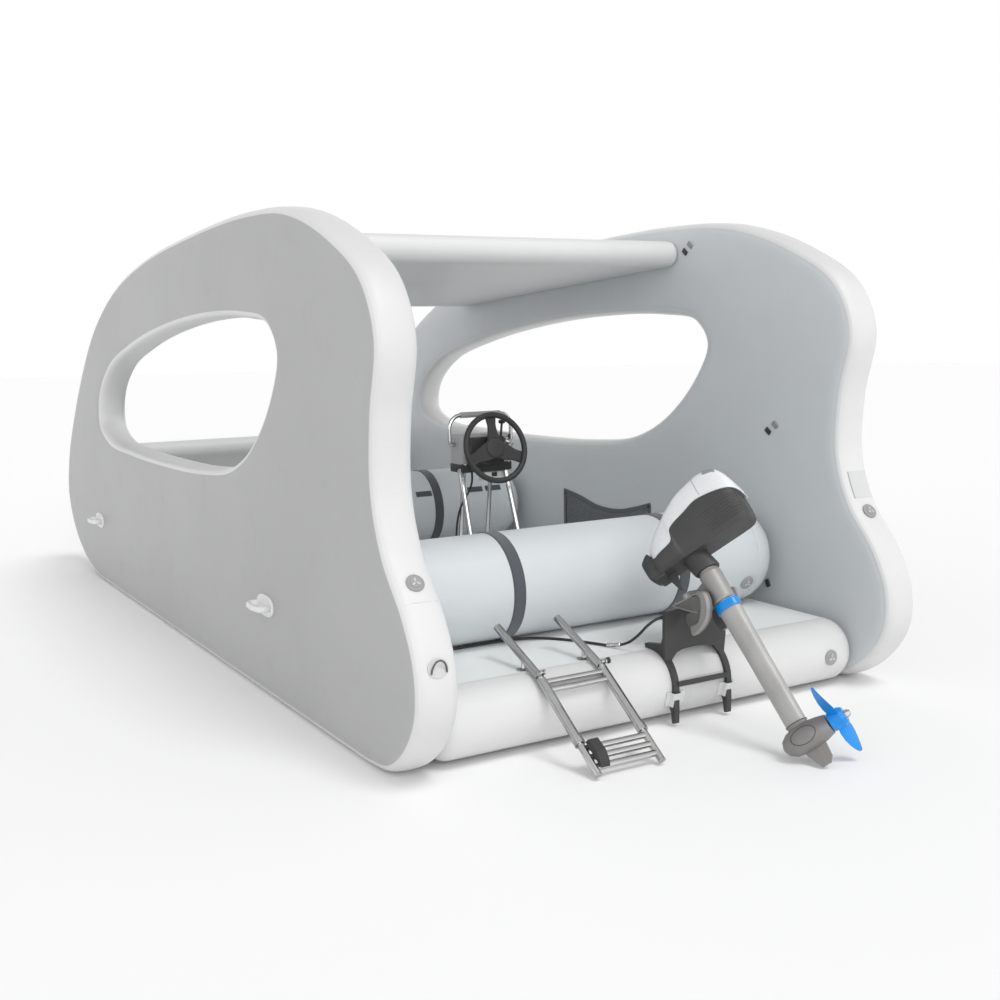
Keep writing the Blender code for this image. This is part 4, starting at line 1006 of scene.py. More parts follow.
def make_walls(settings):
    """Both side walls: a skin with its window hole, tapes over the seams, and one seam strip."""
    seam = curve_through(WALL_SEAM, settings.span_steps, closed=False)
    window = curve_through(WINDOW_SEAM, settings.span_steps, closed=True)
    for name, side in (("port_wall", -1), ("starboard_wall", 1)):
        place = Matrix.Translation(at(side * WALL_CENTRE, 0, 0))
        skin = wall_skin(name + "_skin", seam, BAND_BULGE)
        soften(skin, 0.0016, 7.0, WALL_HALF * 0.75)
        plug = wall_skin(name + "_plug", window, -WINDOW_BULGE, 0.05)
        skin = cut_mesh(name + "_skin", skin, plug)
        # Inner faces get their own lighter fabric: painted light that makes up for the shade inside
        # the hull
        paint_faces(skin, lambda polygon: wall_paint(polygon.center.x * side))
        wall = piece(name + "_skin", skin, ["wall_face", "wall_inside_lightened", "wall_band"],
                     replaces=[name], place=place, sharp=28)
        tapes = [seam_tape("tape", outline, bulge, face, settings.tape_width)
                 for outline, bulge in ((seam, BAND_BULGE), (window, -WINDOW_BULGE))
                 for face in (-1, 1)]
        piece(name + "_seam_tape", tapes, "seam_tape", place=place, sharp=32)
    strip = band_patch("port_band_seam", -1, (0.07, 0.600), (-0.066, 0.066), 0.009, 0.0007)
    piece("port_band_seam", strip, "seam_tape")


# Deck, roof and bow panel

def board_skin(name, outline, ends):
    """A board across the hull: an outline in (Y, Z) that draws in towards both ends."""
    stations = [(-x, grow) for x, grow in ends] + ends[::-1]
    return loft(name, [[at(x, p.x, p.y) for p in offset(outline, grow)] for x, grow in stations])


def capsule(first, last, half, steps):
    """Outline of a board seen from the side: two parallel lines with half-round ends."""
    first = Vector(first)
    last = Vector(last)
    slope = math.degrees(math.atan2(last.y - first.y, last.x - first.x))
    outline = arc(first, half, 90 + slope, 270 + slope, steps)
    return outline + arc(last, half, -90 + slope, 90 + slope, steps)


def make_panels():
    """Deck, roof and bow panel, and the tape along the deck's stern edge."""
    side = WALL_INNER - CONTACT
    reach, draw = 0.068, 0.075
    inner = side - reach
    stern = (DECK_STERN + DECK_RADIUS, DECK_MIDDLE)
    outline = capsule(stern, (DECK_BOW - DECK_RADIUS, DECK_MIDDLE), DECK_RADIUS, 28)
    ends = [(side, -draw)]
    for i in range(1, 9):
        turn = math.pi / 2 * i / 8
        ends.append((side - reach * (1 - math.cos(turn)), -draw * (1 - math.sin(turn))))
    ends += [(inner * k / 10, 0.0) for k in range(9, 0, -1)]
    mesh = board_skin("deck_skin", outline, ends)
    top = DECK_TOP - 0.0012
    paint_faces(mesh, lambda polygon: 0 if polygon.center.z > top else 1)
    deck = piece("deck_skin", mesh, ["deck_top", "wall_band"],
                 replaces=["deck"])

    path = arc(stern, DECK_RADIUS + 0.0004, 97, 84, 5)
    strip = [[at(x, p.x, p.y) for p in path] + [at(x, p.x, p.y - 0.0012) for p in path[::-1]]
             for x in (-inner, inner)]
    piece("deck_stern_tape", loft("deck_stern_tape", strip), "seam_tape")

    ends = [(side, -0.020), (side - 0.004, -0.010), (side - 0.012, -0.003), (side - 0.026, 0.0)]
    for name, first, last, half in (
            ("roof", ROOF_STERN_EDGE, ROOF_BOW_EDGE, ROOF_HALF),
            ("bow_panel", BOW_PANEL_FOOT, BOW_PANEL_HEAD, BOW_PANEL_HALF)):
        mesh = board_skin(name + "_skin", capsule(first, last, half, 24), ends)
        board = piece(name + "_skin", mesh, "wall_band", replaces=[name])


# Bench tubes

def bench_profile(steps=14):
    """(radius, X) down one half of a bench tube, from the end of its dome to the middle."""
    end = WALL_INNER - CONTACT
    straight = end - BENCH_DOME
    profile = [(0.012, end), (0.040, end - 0.0008)]
    for i in range(2, steps + 1):
        turn = math.pi / 2 * i / steps
        profile.append((BENCH_RADIUS * math.sin(turn), straight + BENCH_DOME * math.cos(turn)))
    profile += [(BENCH_RADIUS, straight * k / 8) for k in range(7, 0, -1)]
    return profile


def make_benches():
    """Both bench tubes with their puckered dome seams and their straps."""
    half = bench_profile()
    profile = [(radius, -x) for radius, x in half] + half[::-1]
    straight = WALL_INNER - CONTACT - BENCH_DOME
    inner, outer = BENCH_RADIUS - 0.0006, BENCH_RADIUS + 0.0003
    for name, y, strap_x in BENCHES:
        place = along(at(0, y, BENCH_Z), (1, 0, 0))
        skin = turned(name + "_skin", profile, 72)
        for vertex in skin.vertices:
            near = max(0.0, 1 - abs(abs(vertex.co.z) - straight) / 0.07)
            angle = math.atan2(vertex.co.y, vertex.co.x)
            pucker = 0.0011 * near * (math.sin(angle * 18) + 0.6 * math.sin(angle * 31 + 1))
            vertex.co -= vertex.normal * (pucker + 0.0011 * near)
        bench = piece(name + "_skin", skin, "bench_skin", replaces=[name],
                      place=place, sharp=50)
        seams = []
        for side in (-1, 1):
            ring = ((inner, -0.009), (outer, -0.008), (outer, 0.008), (inner, 0.009))
            seams.append(loft("seam", [oval(radius, radius, 0, side * straight + height, 72)
                                       for radius, height in ring], loop=True))
        piece(name + "_seams", seams, "bench_skin", place=place, sharp=32)
        for word, side in (("port", -1), ("starboard", 1)):
            make_bench_strap(f"{name}_strap_{word}", y, side * strap_x)


def make_bench_strap(name, y, x):
    """One strap round a bench tube, with two rows of stitches."""
    inner = BENCH_RADIUS + 0.0006
    points = arc((y, BENCH_Z), inner, -72, 252, 90)
    path = [at(x, p.x, p.y) for p in points]
    facing = [Vector((0, p.x - y, p.y - BENCH_Z)) for p in points]
    webbing = strap(name + "_webbing", path, facing, STRAP_WIDTH, STRAP_THICKNESS)
    piece(name + "_webbing", webbing, "dark_webbing", replaces=[name],
          sharp=50)
    lines = []
    edges = []
    for shift in (-0.43 * STRAP_WIDTH, 0.43 * STRAP_WIDTH):
        edges += chain(path, len(lines))
        lines += [at(x + shift, y, BENCH_Z) + direction.normalized() * (inner + 0.0024)
                  for direction in facing]
    grown(name + "_stitches", lines, edges, "stitches", {"Pitch": 0.008, "Thickness": 0.0007},
          "cable_rubber")


# Helm

def make_console():
    """The console's finish, its screws, its wheel and its details."""
    dress("steel_tube", "console_frame", "console_handrail", "steering_shaft")
    dress("console_moulding", "console_box")
    dress("black_moulding", "helm_unit")
    low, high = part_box("console_box")
    places = [(x, low.y - 0.0005, z) for x in (low.x + 0.018, high.x - 0.018)
              for z in (high.z - 0.135, high.z - 0.018)]
    grown("console_box_screws", places, [], "screw_heads", {"Radius": 0.005, "Height": 0.003},
          "steel_tube", [(0, -1, 0)] * 4)
    make_wheel()
    make_helm_details()


def make_wheel():
    """Steering wheel: padded rim, three broad spokes and a domed hub."""
    axis = Vector((0, -math.cos(WHEEL_RAKE), math.sin(WHEEL_RAKE)))
    ring = WHEEL_RADIUS - 0.0125
    meshes = [swept("rim", oval(ring, ring, 0, 0.012, 72), 0.0133, 16, loop=True)]
    for angle, root, waist, tip in ((90, 0.029, 0.021, 0.024), (201, 0.040, 0.027, 0.023),
                                    (339, 0.040, 0.027, 0.023)):
        edge = ((0.0, root), (ring * 0.30, root), (ring * 0.68, waist), (ring, tip))
        outline = [(x, -y) for x, y in edge] + list(edge[::-1])
        spoke = plate("spoke", curve_through(outline, 4, closed=False), 0.0005, 0.0095, 0.003)
        spoke.transform(Matrix.Rotation(math.radians(angle), 4, "Z"))
        meshes.append(spoke)
    meshes.append(turned("hub", [(0.034, -0.0125), (0.047, -0.003), (0.048, 0.009),
                                 (0.044, 0.0135), (0.030, 0.0165), (0.006, 0.0172)], 40))
    piece("steering_wheel_grip", meshes, "black_moulding", "helm_wheel",
          ["steering_wheel"], along(at(*WHEEL_CENTRE), axis))


def block_at(place, low, high, bevel):
    """A box with round edges between two corners that are given from a place."""
    return rounded_block("block", place + Vector(low), place + Vector(high), bevel)


def make_helm_details():
    """Dark strip round the foot of the box, small box, throttle and hand grip of the console."""
    low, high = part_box("console_box")
    edge = Vector((0.0015, 0.0015, 0))
    # A dark strip round the foot of the console box, where the box's foot shows dark
    band = rounded_block("band", low - edge, Vector((high.x, high.y, low.z + 0.044)) + edge, 0.008)
    piece("console_band", band, "black_moulding")
    box = rounded_block("box", at(0.197, 1.772, 0.700), at(0.312, 1.826, 0.7455), 0.005)
    piece("console_small_box", box, "white_moulding")

    housing = at(*THROTTLE_PLACE)
    cap = housing + Vector((0.052, -0.012, -0.008))
    chrome = [turned("housing", [(0.027, 0.0), (0.027, 0.006), (0.022, 0.016), (0.010, 0.020)], 32,
                     along(housing, (0, -1, 0))),
              block_at(housing, (-0.006, -0.020, -0.010), (0.052, -0.004, 0.022), 0.005),
              turned("cap", [(0.017, 0.0), (0.017, 0.014), (0.010, 0.020)], 24,
                     along(cap, (0, -1, 0)))]
    piece("throttle_housing", chrome, "steel_tube")
    levers = [rounded_block("switch", at(0.240, 1.766, 0.722), at(0.268, 1.7735, 0.742), 0.003),
              rod("lever", housing + Vector((0.004, -0.016, 0.012)),
                  housing + Vector((0.015, -0.012, 0.092)), 0.0055, 16, 0.002),
              block_at(housing, (-0.002, -0.024, 0.083), (0.030, -0.002, 0.102), 0.008),
              block_at(housing, (0.046, -0.0245, -0.020), (0.057, -0.012, 0.034), 0.004)]
    piece("throttle_lever", levers, "black_moulding")
    grip = rod("grip", at(0.092, 1.80, 1.015), at(0.308, 1.80, 1.015), 0.0135, 24, 0.004)
    piece("handrail_grip", grip, "grip_foam")


# Outboard

def motor_matrix():
    """From the steered motor's own frame to the row frame."""
    pin = Matrix.Translation(at(*TILT_PIN))
    tilt = Matrix.Rotation(-TILT, 4, "X")
    return pin @ tilt @ Matrix.Translation((0, LEG_Y, 0)) @ Matrix.Rotation(STEER, 4, "Z")


def side_plate(name, outline, low, high, bevel=0.0):
    """A flat outline in (Y, Z) between two X places, with the edges at its high end broken."""
    mesh = plate(name, outline, low, high, bevel)
    mesh.transform(Matrix(((0, 0, 1, 0), (1, 0, 0, 0), (0, 1, 0, 0), (0, 0, 0, 1))))
    return mesh


def mirrored(mesh):
    """A copy of a mesh on the other side of X = 0."""
    twin = mesh.copy()
    twin.transform(Matrix.Diagonal((-1, 1, 1, 1)))
    return outward(twin)


def head_half(station, section, crown):
    """Right half of a ring of the head, from the middle of its seat to its far side's middle."""
    y, seat_width, seat_z, far_width, far_z = station
    half = [(seat_width * k, seat_z) for k in (0.4, 0.8, 0.96)]
    for point in section:
        half.append((seat_width + (far_width - seat_width) * point.x,
                     seat_z + (far_z - seat_z) * point.y))
    return half + [(far_width * k, far_z + crown * (1 - k * k)) for k in (0.85, 0.6, 0.3)]


def head_shell(name, stations, section, steps, crown):
    """A loft along the head's stations; section places its points from seat to far side."""
    section = curve_through(section, steps, closed=False)
    rings = []
    for station in curve_through(stations, 5, closed=False):
        half = head_half(station, section, crown)
        rings.append([(x, station[0], z) for x, z in half]
                     + [(-x, station[0], z) for x, z in half[::-1]])
    return loft(name, rings)


def cowl_band(name, low, high, share, lift):
    """A band over the cowl between two places along it, down to a share of the cowl's height."""
    section = curve_through(COWL_SECTION, 5, closed=False)
    rows = []
    for station in curve_through(COWL, 24, closed=False):
        if low <= station[0] <= high:
            foot = station[2] + share * (station[4] - station[2])
            half = [Vector(p) for p in head_half(station, section, COWL_CROWN)[3:]
                    if p[1] >= foot - 0.0001]
            line = half + [Vector((-p.x, p.y)) for p in half[::-1]]
            row = []
            for i, point in enumerate(line):
                step = line[min(i + 1, len(line) - 1)] - line[max(i - 1, 0)]
                out = Vector((step.y, 0, -step.x)).normalized()
                row.append((Vector((point.x, station[0], point.y)), out))
            rows.append(row)
    return patch_mesh(name, rows, lift)


def rib_depth(y, z):
    """Depth of the grooves between the ribs on the battery's aft sides."""
    aft = min(1.0, max(0.0, (RIBS_FORE - y) / 0.03))
    level = min(1.0, max(0.0, min(z - RIBS_LOW, RIBS_HIGH - z) / 0.004))
    groove = max(0.0, math.cos(math.tau * z / RIB_PITCH)) ** 0.6
    return RIB_DEPTH * aft * level * groove


def make_head():
    """The motor's cowl, its ribbed battery, and the grip and the line on the cowl."""
    place = motor_matrix()
    cowl = head_shell("motor_cowl_shell", [(y, a, z + 0.0006, b, c) for y, a, z, b, c in COWL],
                      COWL_SECTION, 5, COWL_CROWN)
    piece("motor_cowl_shell", cowl, "cowl_gloss", "motor", ["motor_cowl"], place, 40)

    battery = head_shell("battery_case", BATTERY,
                         ((0.0, 0.0), (0.10, 0.30), (0.45, 0.75), (1.0, 1.0)), 24, -0.002)
    for vertex in battery.vertices:
        vertex.co -= vertex.normal * rib_depth(vertex.co.y, vertex.co.z)
    neck = [oval(0.040, 0.0485, 0.018 * k, 0.0345 + 0.0775 * k) for k in (0.0, 0.08, 0.5, 1.0)]
    neck[0] = oval(0.038, 0.0455, 0.0, 0.0345)
    spike = side_plate("spike", ((0.098, 0.112), (0.112, 0.032), (0.120, 0.030), (0.146, 0.112)),
                       -0.005, 0.005, 0.001)
    lip = rounded_block("lip", (-0.047, 0.128, 0.094), (0.047, 0.176, 0.112), 0.006)
    piece("battery_case", [battery, loft("neck", neck), outward(spike), lip], "battery_moulding",
          "motor", ["motor_battery"], place, 34)

    grip = cowl_band("cowl_grip", *GRIP_BAND, 0.74, 0.0036)
    piece("cowl_grip", grip, "grey_moulding", "motor", place=place, sharp=40)
    line = cowl_band("cowl_line", *LINE_BAND, 0.02, 0.0005)
    piece("cowl_line", line, "grey_moulding", "motor", place=place)


def superellipse(half_width, half_depth, power=2.6, count=48):
    """A round-cornered outline in XY about its middle."""
    outline = []
    for i in range(count):
        angle = math.tau * i / count
        c, s = math.cos(angle), math.sin(angle)
        outline.append((math.copysign(half_width * abs(c) ** (2 / power), c),
                        math.copysign(half_depth * abs(s) ** (2 / power), s)))
    return outline


def make_pod_seams():
    """An oval parting line on each side of the pod, and the joint between pod and leg."""
    lines = []
    for side in (-1, 1):
        points = []
        for i in range(48):
            turn = math.tau * i / 48
            y, z = -0.008 + 0.044 * math.cos(turn), 0.027 * math.sin(turn)
            radius = 0.0472 - max(0.0, abs(y + 0.008) - 0.022) * 0.16
            points.append((side * math.sqrt(radius * radius - z * z), y, POD_Z + z))
        lines.append(swept("seam", points, 0.0010, 8, loop=True))
    lines.append(swept("joint", oval(0.0262, 0.0392, 0, -0.5865), 0.0009, 8, loop=True))
    piece("pod_seams", lines, "black_coat", "motor", place=motor_matrix())


def make_clamp():
    """Two cast cheeks with a thick rim and thin ridges, their front jaws, screws and tilt pin."""
    inner = CHEEK_X - CHEEK_HALF
    outer = CHEEK_X + CHEEK_HALF
    cheek = side_plate("cheek", curve_through(CHEEK, 3, closed=True), inner, outer, 0.0015)
    paint_faces(cheek, lambda polygon: 1)
    rim = curve_through(CHEEK[2:10] + CHEEK_RIM_INNER, 4, closed=True)
    parts = [cheek, side_plate("rim", rim, outer - 0.002, outer + 0.011, 0.004)]
    for ridge in (CHEEK[:3], (CHEEK[0], CHEEK[14], (-0.066, -0.044))):
        line = [(outer, y, z) for y, z in curve_through(ridge, 4, closed=False)]
        parts.append(swept("ridge", line, 0.0034, 10))
    parts += [
        rounded_block("jaw", (inner, 0.041, -0.124), (outer, 0.066, -0.052), 0.003),
        turned("bolt", [(0.013, 0.0), (0.013, 0.004), (0.008, 0.008)], 24,
               along((outer, 0, 0), (1, 0, 0))),
        turned("screw", [(0.014, 0.0), (0.014, 0.034), (0.006, 0.034), (0.006, 0.068)], 24,
               along((CHEEK_X, 0.060, -0.100), (0, 1, 0))),
        rod("handle", (CHEEK_X - 0.030, 0.124, -0.100), (CHEEK_X + 0.030, 0.124, -0.100),
            0.0055, 16, 0.002)]
    parts += [mirrored(part) for part in parts]
    gland = Vector(CABLE_ROUTE[0]) - Vector(TILT_PIN)
    parts += [
        rod("pin", (-0.075, 0, 0), (0.075, 0, 0), 0.008, 24, 0.001),
        rounded_block("bridge", (-0.060, 0.056, -0.060), (0.060, 0.074, -0.034), 0.004),
        rod("gland", gland + Vector((0.024, 0, 0)), gland + Vector((0.0003, 0, 0)), 0.008,
            20, 0.001)]
    piece("motor_clamp_casting", parts, ["cast_alloy", "cast_recess"], "hull",
          ["motor_clamp"], Matrix.Translation(at(*TILT_PIN)), 36)


def make_motor():
    """The outboard's finish, head, pod seams, clamp and bracket webbing."""
    dress("black_coat", "motor_bracket")
    dress("cast_alloy", "motor_swivel")
    dress("leg_alloy", "motor_leg")
    dress("blue_moulding", "motor_collar", "propeller")
    dress("pod_alloy", "motor_pod")
    dress("steel_tube", "propeller_nut")
    make_head()
    make_pod_seams()
    make_clamp()
    make_bracket_webbing()


def make_bracket_webbing():
    """White webbing loops round the bracket's legs and a stitched patch between them."""
    centre = (DECK_STERN + DECK_RADIUS, DECK_MIDDLE)
    slope = math.radians(-15)
    out = Vector((0, -math.cos(slope), math.sin(slope)))
    half = ((0.036, 0.1222), (0.021, 0.1236), (0.0145, 0.1370), (0.0120, 0.1386))
    shape = [(-x, radius) for x, radius in half] + list(half[::-1])
    facing = [out + Vector((x, 0, 0)) for x in (0, -0.5, -2, -0.4, 0.4, 2, 0.5, 0)]
    loops = []
    for side in (-1, 1):
        leg = TILT_PIN[0] + side * BRACKET_LEG_X
        path = [at(leg + x, *centre) + out * radius for x, radius in shape]
        loops.append(strap("loop", path, facing, 0.054, 0.0018))
    piece("bracket_loops", loops, "pale_webbing")
    rows = []
    for i in range(13):
        turn = math.radians(-48 + 64 * i / 12)
        out = Vector((0, -math.cos(turn), math.sin(turn)))
        place = at(0, *centre) + out * (DECK_RADIUS + 0.0004)
        rows.append([(place + Vector((0.066 + 0.163 * k / 8, 0, 0)), out) for k in range(9)])
    patch = patch_mesh("bracket_patch", rows, 0.0012)
    piece("bracket_patch", patch, "patch_fabric")
    border = [rows[i][1] for i in range(1, 12)] + rows[11][2:8]
    border += [rows[i][7] for i in range(10, 0, -1)] + rows[1][6:0:-1]
    line = [place + out * 0.0014 for place, out in border]
    grown("bracket_patch_stitches", line, chain(line), "stitches",
          {"Pitch": 0.006, "Thickness": 0.0006}, "thread")


# Ladder

def tube_rim(radius, place):
    """The rolled rim at the open end of a tube."""
    return turned("rim", [(radius - 0.003, -0.002), (radius, -0.002), (radius + 0.0008, 0.0012),
                          (radius - 0.001, 0.0026), (radius - 0.003, 0.0016)], 28, place)


def make_ladder():
    """The ladder's finish, the ends of its tubes and its knob."""
    dress("steel_tube", "ladder_handle_port", "ladder_handle_starboard", "ladder_rails",
          "ladder_foot")
    dress("black_moulding", "ladder_latch")
    forward = Vector((0, math.cos(HANDLE_SLOPE), math.sin(HANDLE_SLOPE)))
    out = Vector((0, -math.sin(HANDLE_SLOPE), math.cos(HANDLE_SLOPE)))
    down = Vector((0, -math.cos(LADDER_SLOPE), -math.sin(LADDER_SLOPE)))
    fall = Vector((0, -math.sin(LADDER_SLOPE), math.cos(LADDER_SLOPE)))
    rims = []
    plugs = []
    feet = []
    for side in (-1, 1):
        pivot = at(LADDER_X + side * LADDER_WIDTH / 2, *LADDER_PIVOT)
        handle_end = along(pivot - out * LADDER_DROP + forward * HANDLE_LENGTH, forward)
        rail_end = along(pivot - fall * LADDER_DROP + down * RAIL_LENGTH, down)
        bore = HANDLE_RADIUS - 0.0035
        rims.append(tube_rim(HANDLE_RADIUS, handle_end))
        plugs.append(turned("plug", [(bore, 0.0), (bore, 0.0021)], 24, handle_end))
        feet.append(tube_rim(RAIL_RADIUS, rail_end))
    piece("ladder_handle_rims", rims, "steel_tube")
    piece("ladder_handle_plugs", plugs, "black_moulding")
    piece("ladder_foot_rims", feet, "steel_tube", "ladder")
    place = at(LADDER_X + LADDER_WIDTH / 2 + 0.0152, *LADDER_PIVOT)
    knob = turned("ladder_knob", [(0.010, 0.0), (0.011, 0.003), (0.011, 0.009), (0.006, 0.012)], 24,
                  along(place, (1, 0, 0)))
    piece("ladder_knob", knob, "black_moulding")


# Fittings

def make_fittings(settings):
    """Everything small on the walls, the deck and the benches."""
    make_cleats()
    make_valves()
    make_tow_ring()
    make_placard()
    make_clips()
    make_pocket(settings)


def make_cleats():
    """A moulded cleat on each of its four places: an oval plate and a thick loop."""
    half = ((0.060, 0.006), (0.072, 0.024), (0.066, 0.045), (0.038, 0.056))
    path = [(-x, 0.0, z) for x, z in half] + [(x, 0.0, z) for x, z in half[::-1]]
    for side, word in ((-1, "port"), (1, "starboard")):
        wall = side * (HALF_BEAM + FACE_SWELL + CONTACT)
        for end, y, z in CLEAT_PLACES:
            base = plate("base", superellipse(*CLEAT_BASE), 0.0, 0.0085, 0.0035)
            pad = plate("pad", superellipse(*CLEAT_PAD), 0.0085, 0.0135, 0.003)
            lug = swept("lug", curve_through(path, 5, closed=False), CLEAT_LOOP_RADIUS, 16)
            lug.transform(Matrix.Diagonal((1.0, 1.5, 1.0, 1.0)))
            name = f"{word}_{end}_cleat"
            piece(name + "_moulding", [base, pad, lug], "white_moulding",
                  replaces=[name], place=along(at(wall, y, z), (side, 0, 0)), sharp=40)


def make_valves():
    """Finish of the four valves and the three pale slots in each of their caps."""
    dress("valve_moulding", "port_wall_valve", "starboard_wall_valve", "deck_valve",
          "aft_bench_valve")
    slope = math.radians(27)
    bench_out = Vector((0, -math.cos(slope), -math.sin(slope)))
    bench = at(0.72, BENCHES[0][1], BENCH_Z) + bench_out * (BENCH_RADIUS + CONTACT)
    places = [band_place(-1, PORT_VALVE, 0.0, CONTACT, 4)[:2],
              band_place(1, STARBOARD_VALVE, 0.0, CONTACT + 0.0014, 4)[:2],
              (at(0.78, DECK_STERN - CONTACT, DECK_MIDDLE), Vector((0, -1, 0))),
              (bench, bench_out)]
    slots = []
    for place, out in places:
        for turn in (90, 210, 330):
            blade = rounded_block("slot", (0.003, -0.0028, 0.0068), (0.0155, 0.0028, 0.0086),
                                  0.0008)
            blade.transform(along(place, out) @ Matrix.Rotation(math.radians(turn), 4, "Z"))
            slots.append(blade)
    piece("valve_slots", slots, "valve_slots")


def make_tow_ring():
    """A lens-shaped fabric patch on the port stern band with a thin steel arch."""
    place, out, rise = band_place(-1, TOW_RING, 0.0, CONTACT, 4)
    matrix = Matrix(((-1, 0, 0), rise, out)).transposed().to_4x4()
    matrix.translation = place
    patch = turned("tow_patch", [(0.036, -0.0010), (0.0355, 0.0010), (0.020, 0.0030),
                                 (0.004, 0.0036)], 40)
    patch.transform(Matrix.Diagonal((1.0, 0.82, 1.0, 1.0)))
    piece("tow_ring_patch", patch, "patch_fabric",
          replaces=["port_tow_ring"], place=matrix)
    ring = []
    for i in range(25):
        turn = math.pi * i / 24
        ring.append((0.026 * math.cos(turn), 0.038 * math.sin(turn) - 0.015,
                     0.0030 + 0.014 * math.sin(turn)))
    piece("tow_ring_arch", swept("arch", ring, 0.0028, 12), "dark_steel",
          place=matrix)


def make_placard():
    """A blank bordered label on the starboard stern band."""
    for name, span, height, lift, finish in (
            ("placard_border", (-0.043, 0.063), 0.120, 0.0006, "placard_edge"),
            ("placard_face", (-0.038, 0.058), 0.110, 0.0011, "placard_film")):
        label = band_patch(name, 1, PLACARD, span, height, lift)
        piece(name, label, finish)


def make_clips():
    """Small dark clips with pale bases inside the starboard wall, and dashes on the far bench."""
    clips = []
    bases = []
    for kind, y, z, slope in ((clips, 0.644, 0.968, 38), (bases, 0.603, 0.995, 38),
                              (clips, 1.191, 1.735, 40), (bases, 1.156, 1.763, 40),
                              (clips, 0.632, 0.324, 60)):
        block = rounded_block("clip", (-0.007, -0.016, -0.010), (0.001, 0.016, 0.010), 0.002)
        block.transform(Matrix.Translation(at(WALL_INNER, y, z))
                        @ Matrix.Rotation(math.radians(slope), 4, "X"))
        kind.append(block)
    piece("wall_clips", clips, "black_moulding")
    piece("wall_clip_bases", bases, "grey_moulding")
    rise = (0.553 - BENCH_Z) / BENCH_RADIUS
    out = Vector((0, -math.sqrt(1 - rise * rise), rise))
    place = at(0, BENCHES[1][1], BENCH_Z) + out * (BENCH_RADIUS + 0.0005)
    dashes = []
    for start, end in ((0.230, 0.322), (0.539, 0.631), (0.649, 0.744)):
        path = [place + Vector((x, 0, 0)) for x in (start, (start + end) / 2, end)]
        dashes.append(strap("dash", path, [out] * 3, 0.030, 0.0014))
    piece("forward_bench_dashes", dashes, "dark_webbing")


def inside_outline(point, outline):
    """Whether a 2-D point lies inside a closed outline."""
    hits = 0
    for a, b in zip(outline, outline[1:] + outline[:1]):
        if (a[1] > point[1]) != (b[1] > point[1]):
            if point[0] < a[0] + (point[1] - a[1]) / (b[1] - a[1]) * (b[0] - a[0]):
                hits += 1
    return hits % 2 == 1


def make_pocket(settings):
    """Net pocket on the starboard wall: diagonal strands inside a webbing hem."""
    top = curve_through(POCKET_TOP, 6, closed=False)
    outline = [Vector((POCKET_STERN, POCKET_FOOT)), Vector((POCKET_BOW, POCKET_FOOT))] + top
    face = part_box("net_pocket")[1].x
    pitch = settings.net_pitch * math.sqrt(2)
    low, rise, levels = 0.295, 0.0042, 66
    vertices = []
    edges = []
    for direction in (1, -1):
        x = face - 0.0022 - 0.0007 * direction
        for k in range(-70, 150):
            run = []
            for step in range(levels):
                z = low + step * rise
                point = Vector((1.0 + k * pitch + direction * (z - low), z))
                if inside_outline(point, outline):
                    run.append(point)
            if len(run) > 1:
                edges.append((len(vertices), len(vertices) + 1))
                vertices += [at(x, end.x, end.y) for end in (run[0], run[-1])]
    net = grown("net_pocket_strands", vertices, edges, "net_strands", {"Strand Radius": 0.0013},
                "cable_rubber")
    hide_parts("net_pocket")
    hems = []
    inset = 0.01
    bow = POCKET_BOW - inset
    stern = POCKET_STERN + inset
    foot = POCKET_FOOT + inset
    for line in (top, ((bow, POCKET_FOOT), (bow, 0.556)), ((stern, POCKET_FOOT), (stern, 0.560)),
                 ((POCKET_STERN, foot), (POCKET_BOW, foot))):
        path = [at(face - 0.0006, y, z) for y, z in line]
        hems.append(strap("hem", path, [(-1, 0, 0)] * len(path), HEM_WIDTH, 0.0036))
    piece("net_pocket_hem", hems, "dark_webbing")


# Steering cable

def make_cable():
    """The steering cable from the motor's clamp to the helm, with its coupling."""
    fine = curve_through(CABLE_ROUTE, 12, closed=False)
    points = fine[::3]
    if points[-1] != fine[-1]:
        points.append(fine[-1])
    curve = bpy.data.curves.new("steering_cable_run", "CURVE")
    curve.dimensions = "3D"
    curve.bevel_depth = CABLE_RADIUS
    curve.bevel_resolution = 4
    curve.use_fill_caps = True
    spline = curve.splines.new("POLY")
    spline.points.add(len(points) - 1)
    for point, place in zip(spline.points, points):
        point.co = (*at(*place), 1.0)
    spline.use_smooth = True
    run = linked("steering_cable_run", curve)
    curve.materials.append(MATERIALS["cable_rubber"])
    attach(run, "hull")
    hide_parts("steering_cable")
    place = at(*CABLE_ROUTE[6]) + Vector((0, 0, 0.0028))
    direction = Vector(CABLE_ROUTE[7]) - Vector(CABLE_ROUTE[5])
    half = ((0.0052, 0.030), (0.0075, 0.028), (0.0075, 0.010), (0.0062, 0.008))
    profile = [(radius, -height) for radius, height in half] + list(half[::-1])
    sleeve = piece("cable_coupling", turned("coupling", profile, 24, along(place, direction)),
                   "steel_tube")


# Stage

CAMERA_LENS = 44.33
CAMERA_PLACE = (-2.6586, -3.1927, 1.4064)
CAMERA_YAW = math.radians(30.651)
CAMERA_PITCH = math.radians(7.895)
CAMERA_ROLL = math.radians(-0.9315)


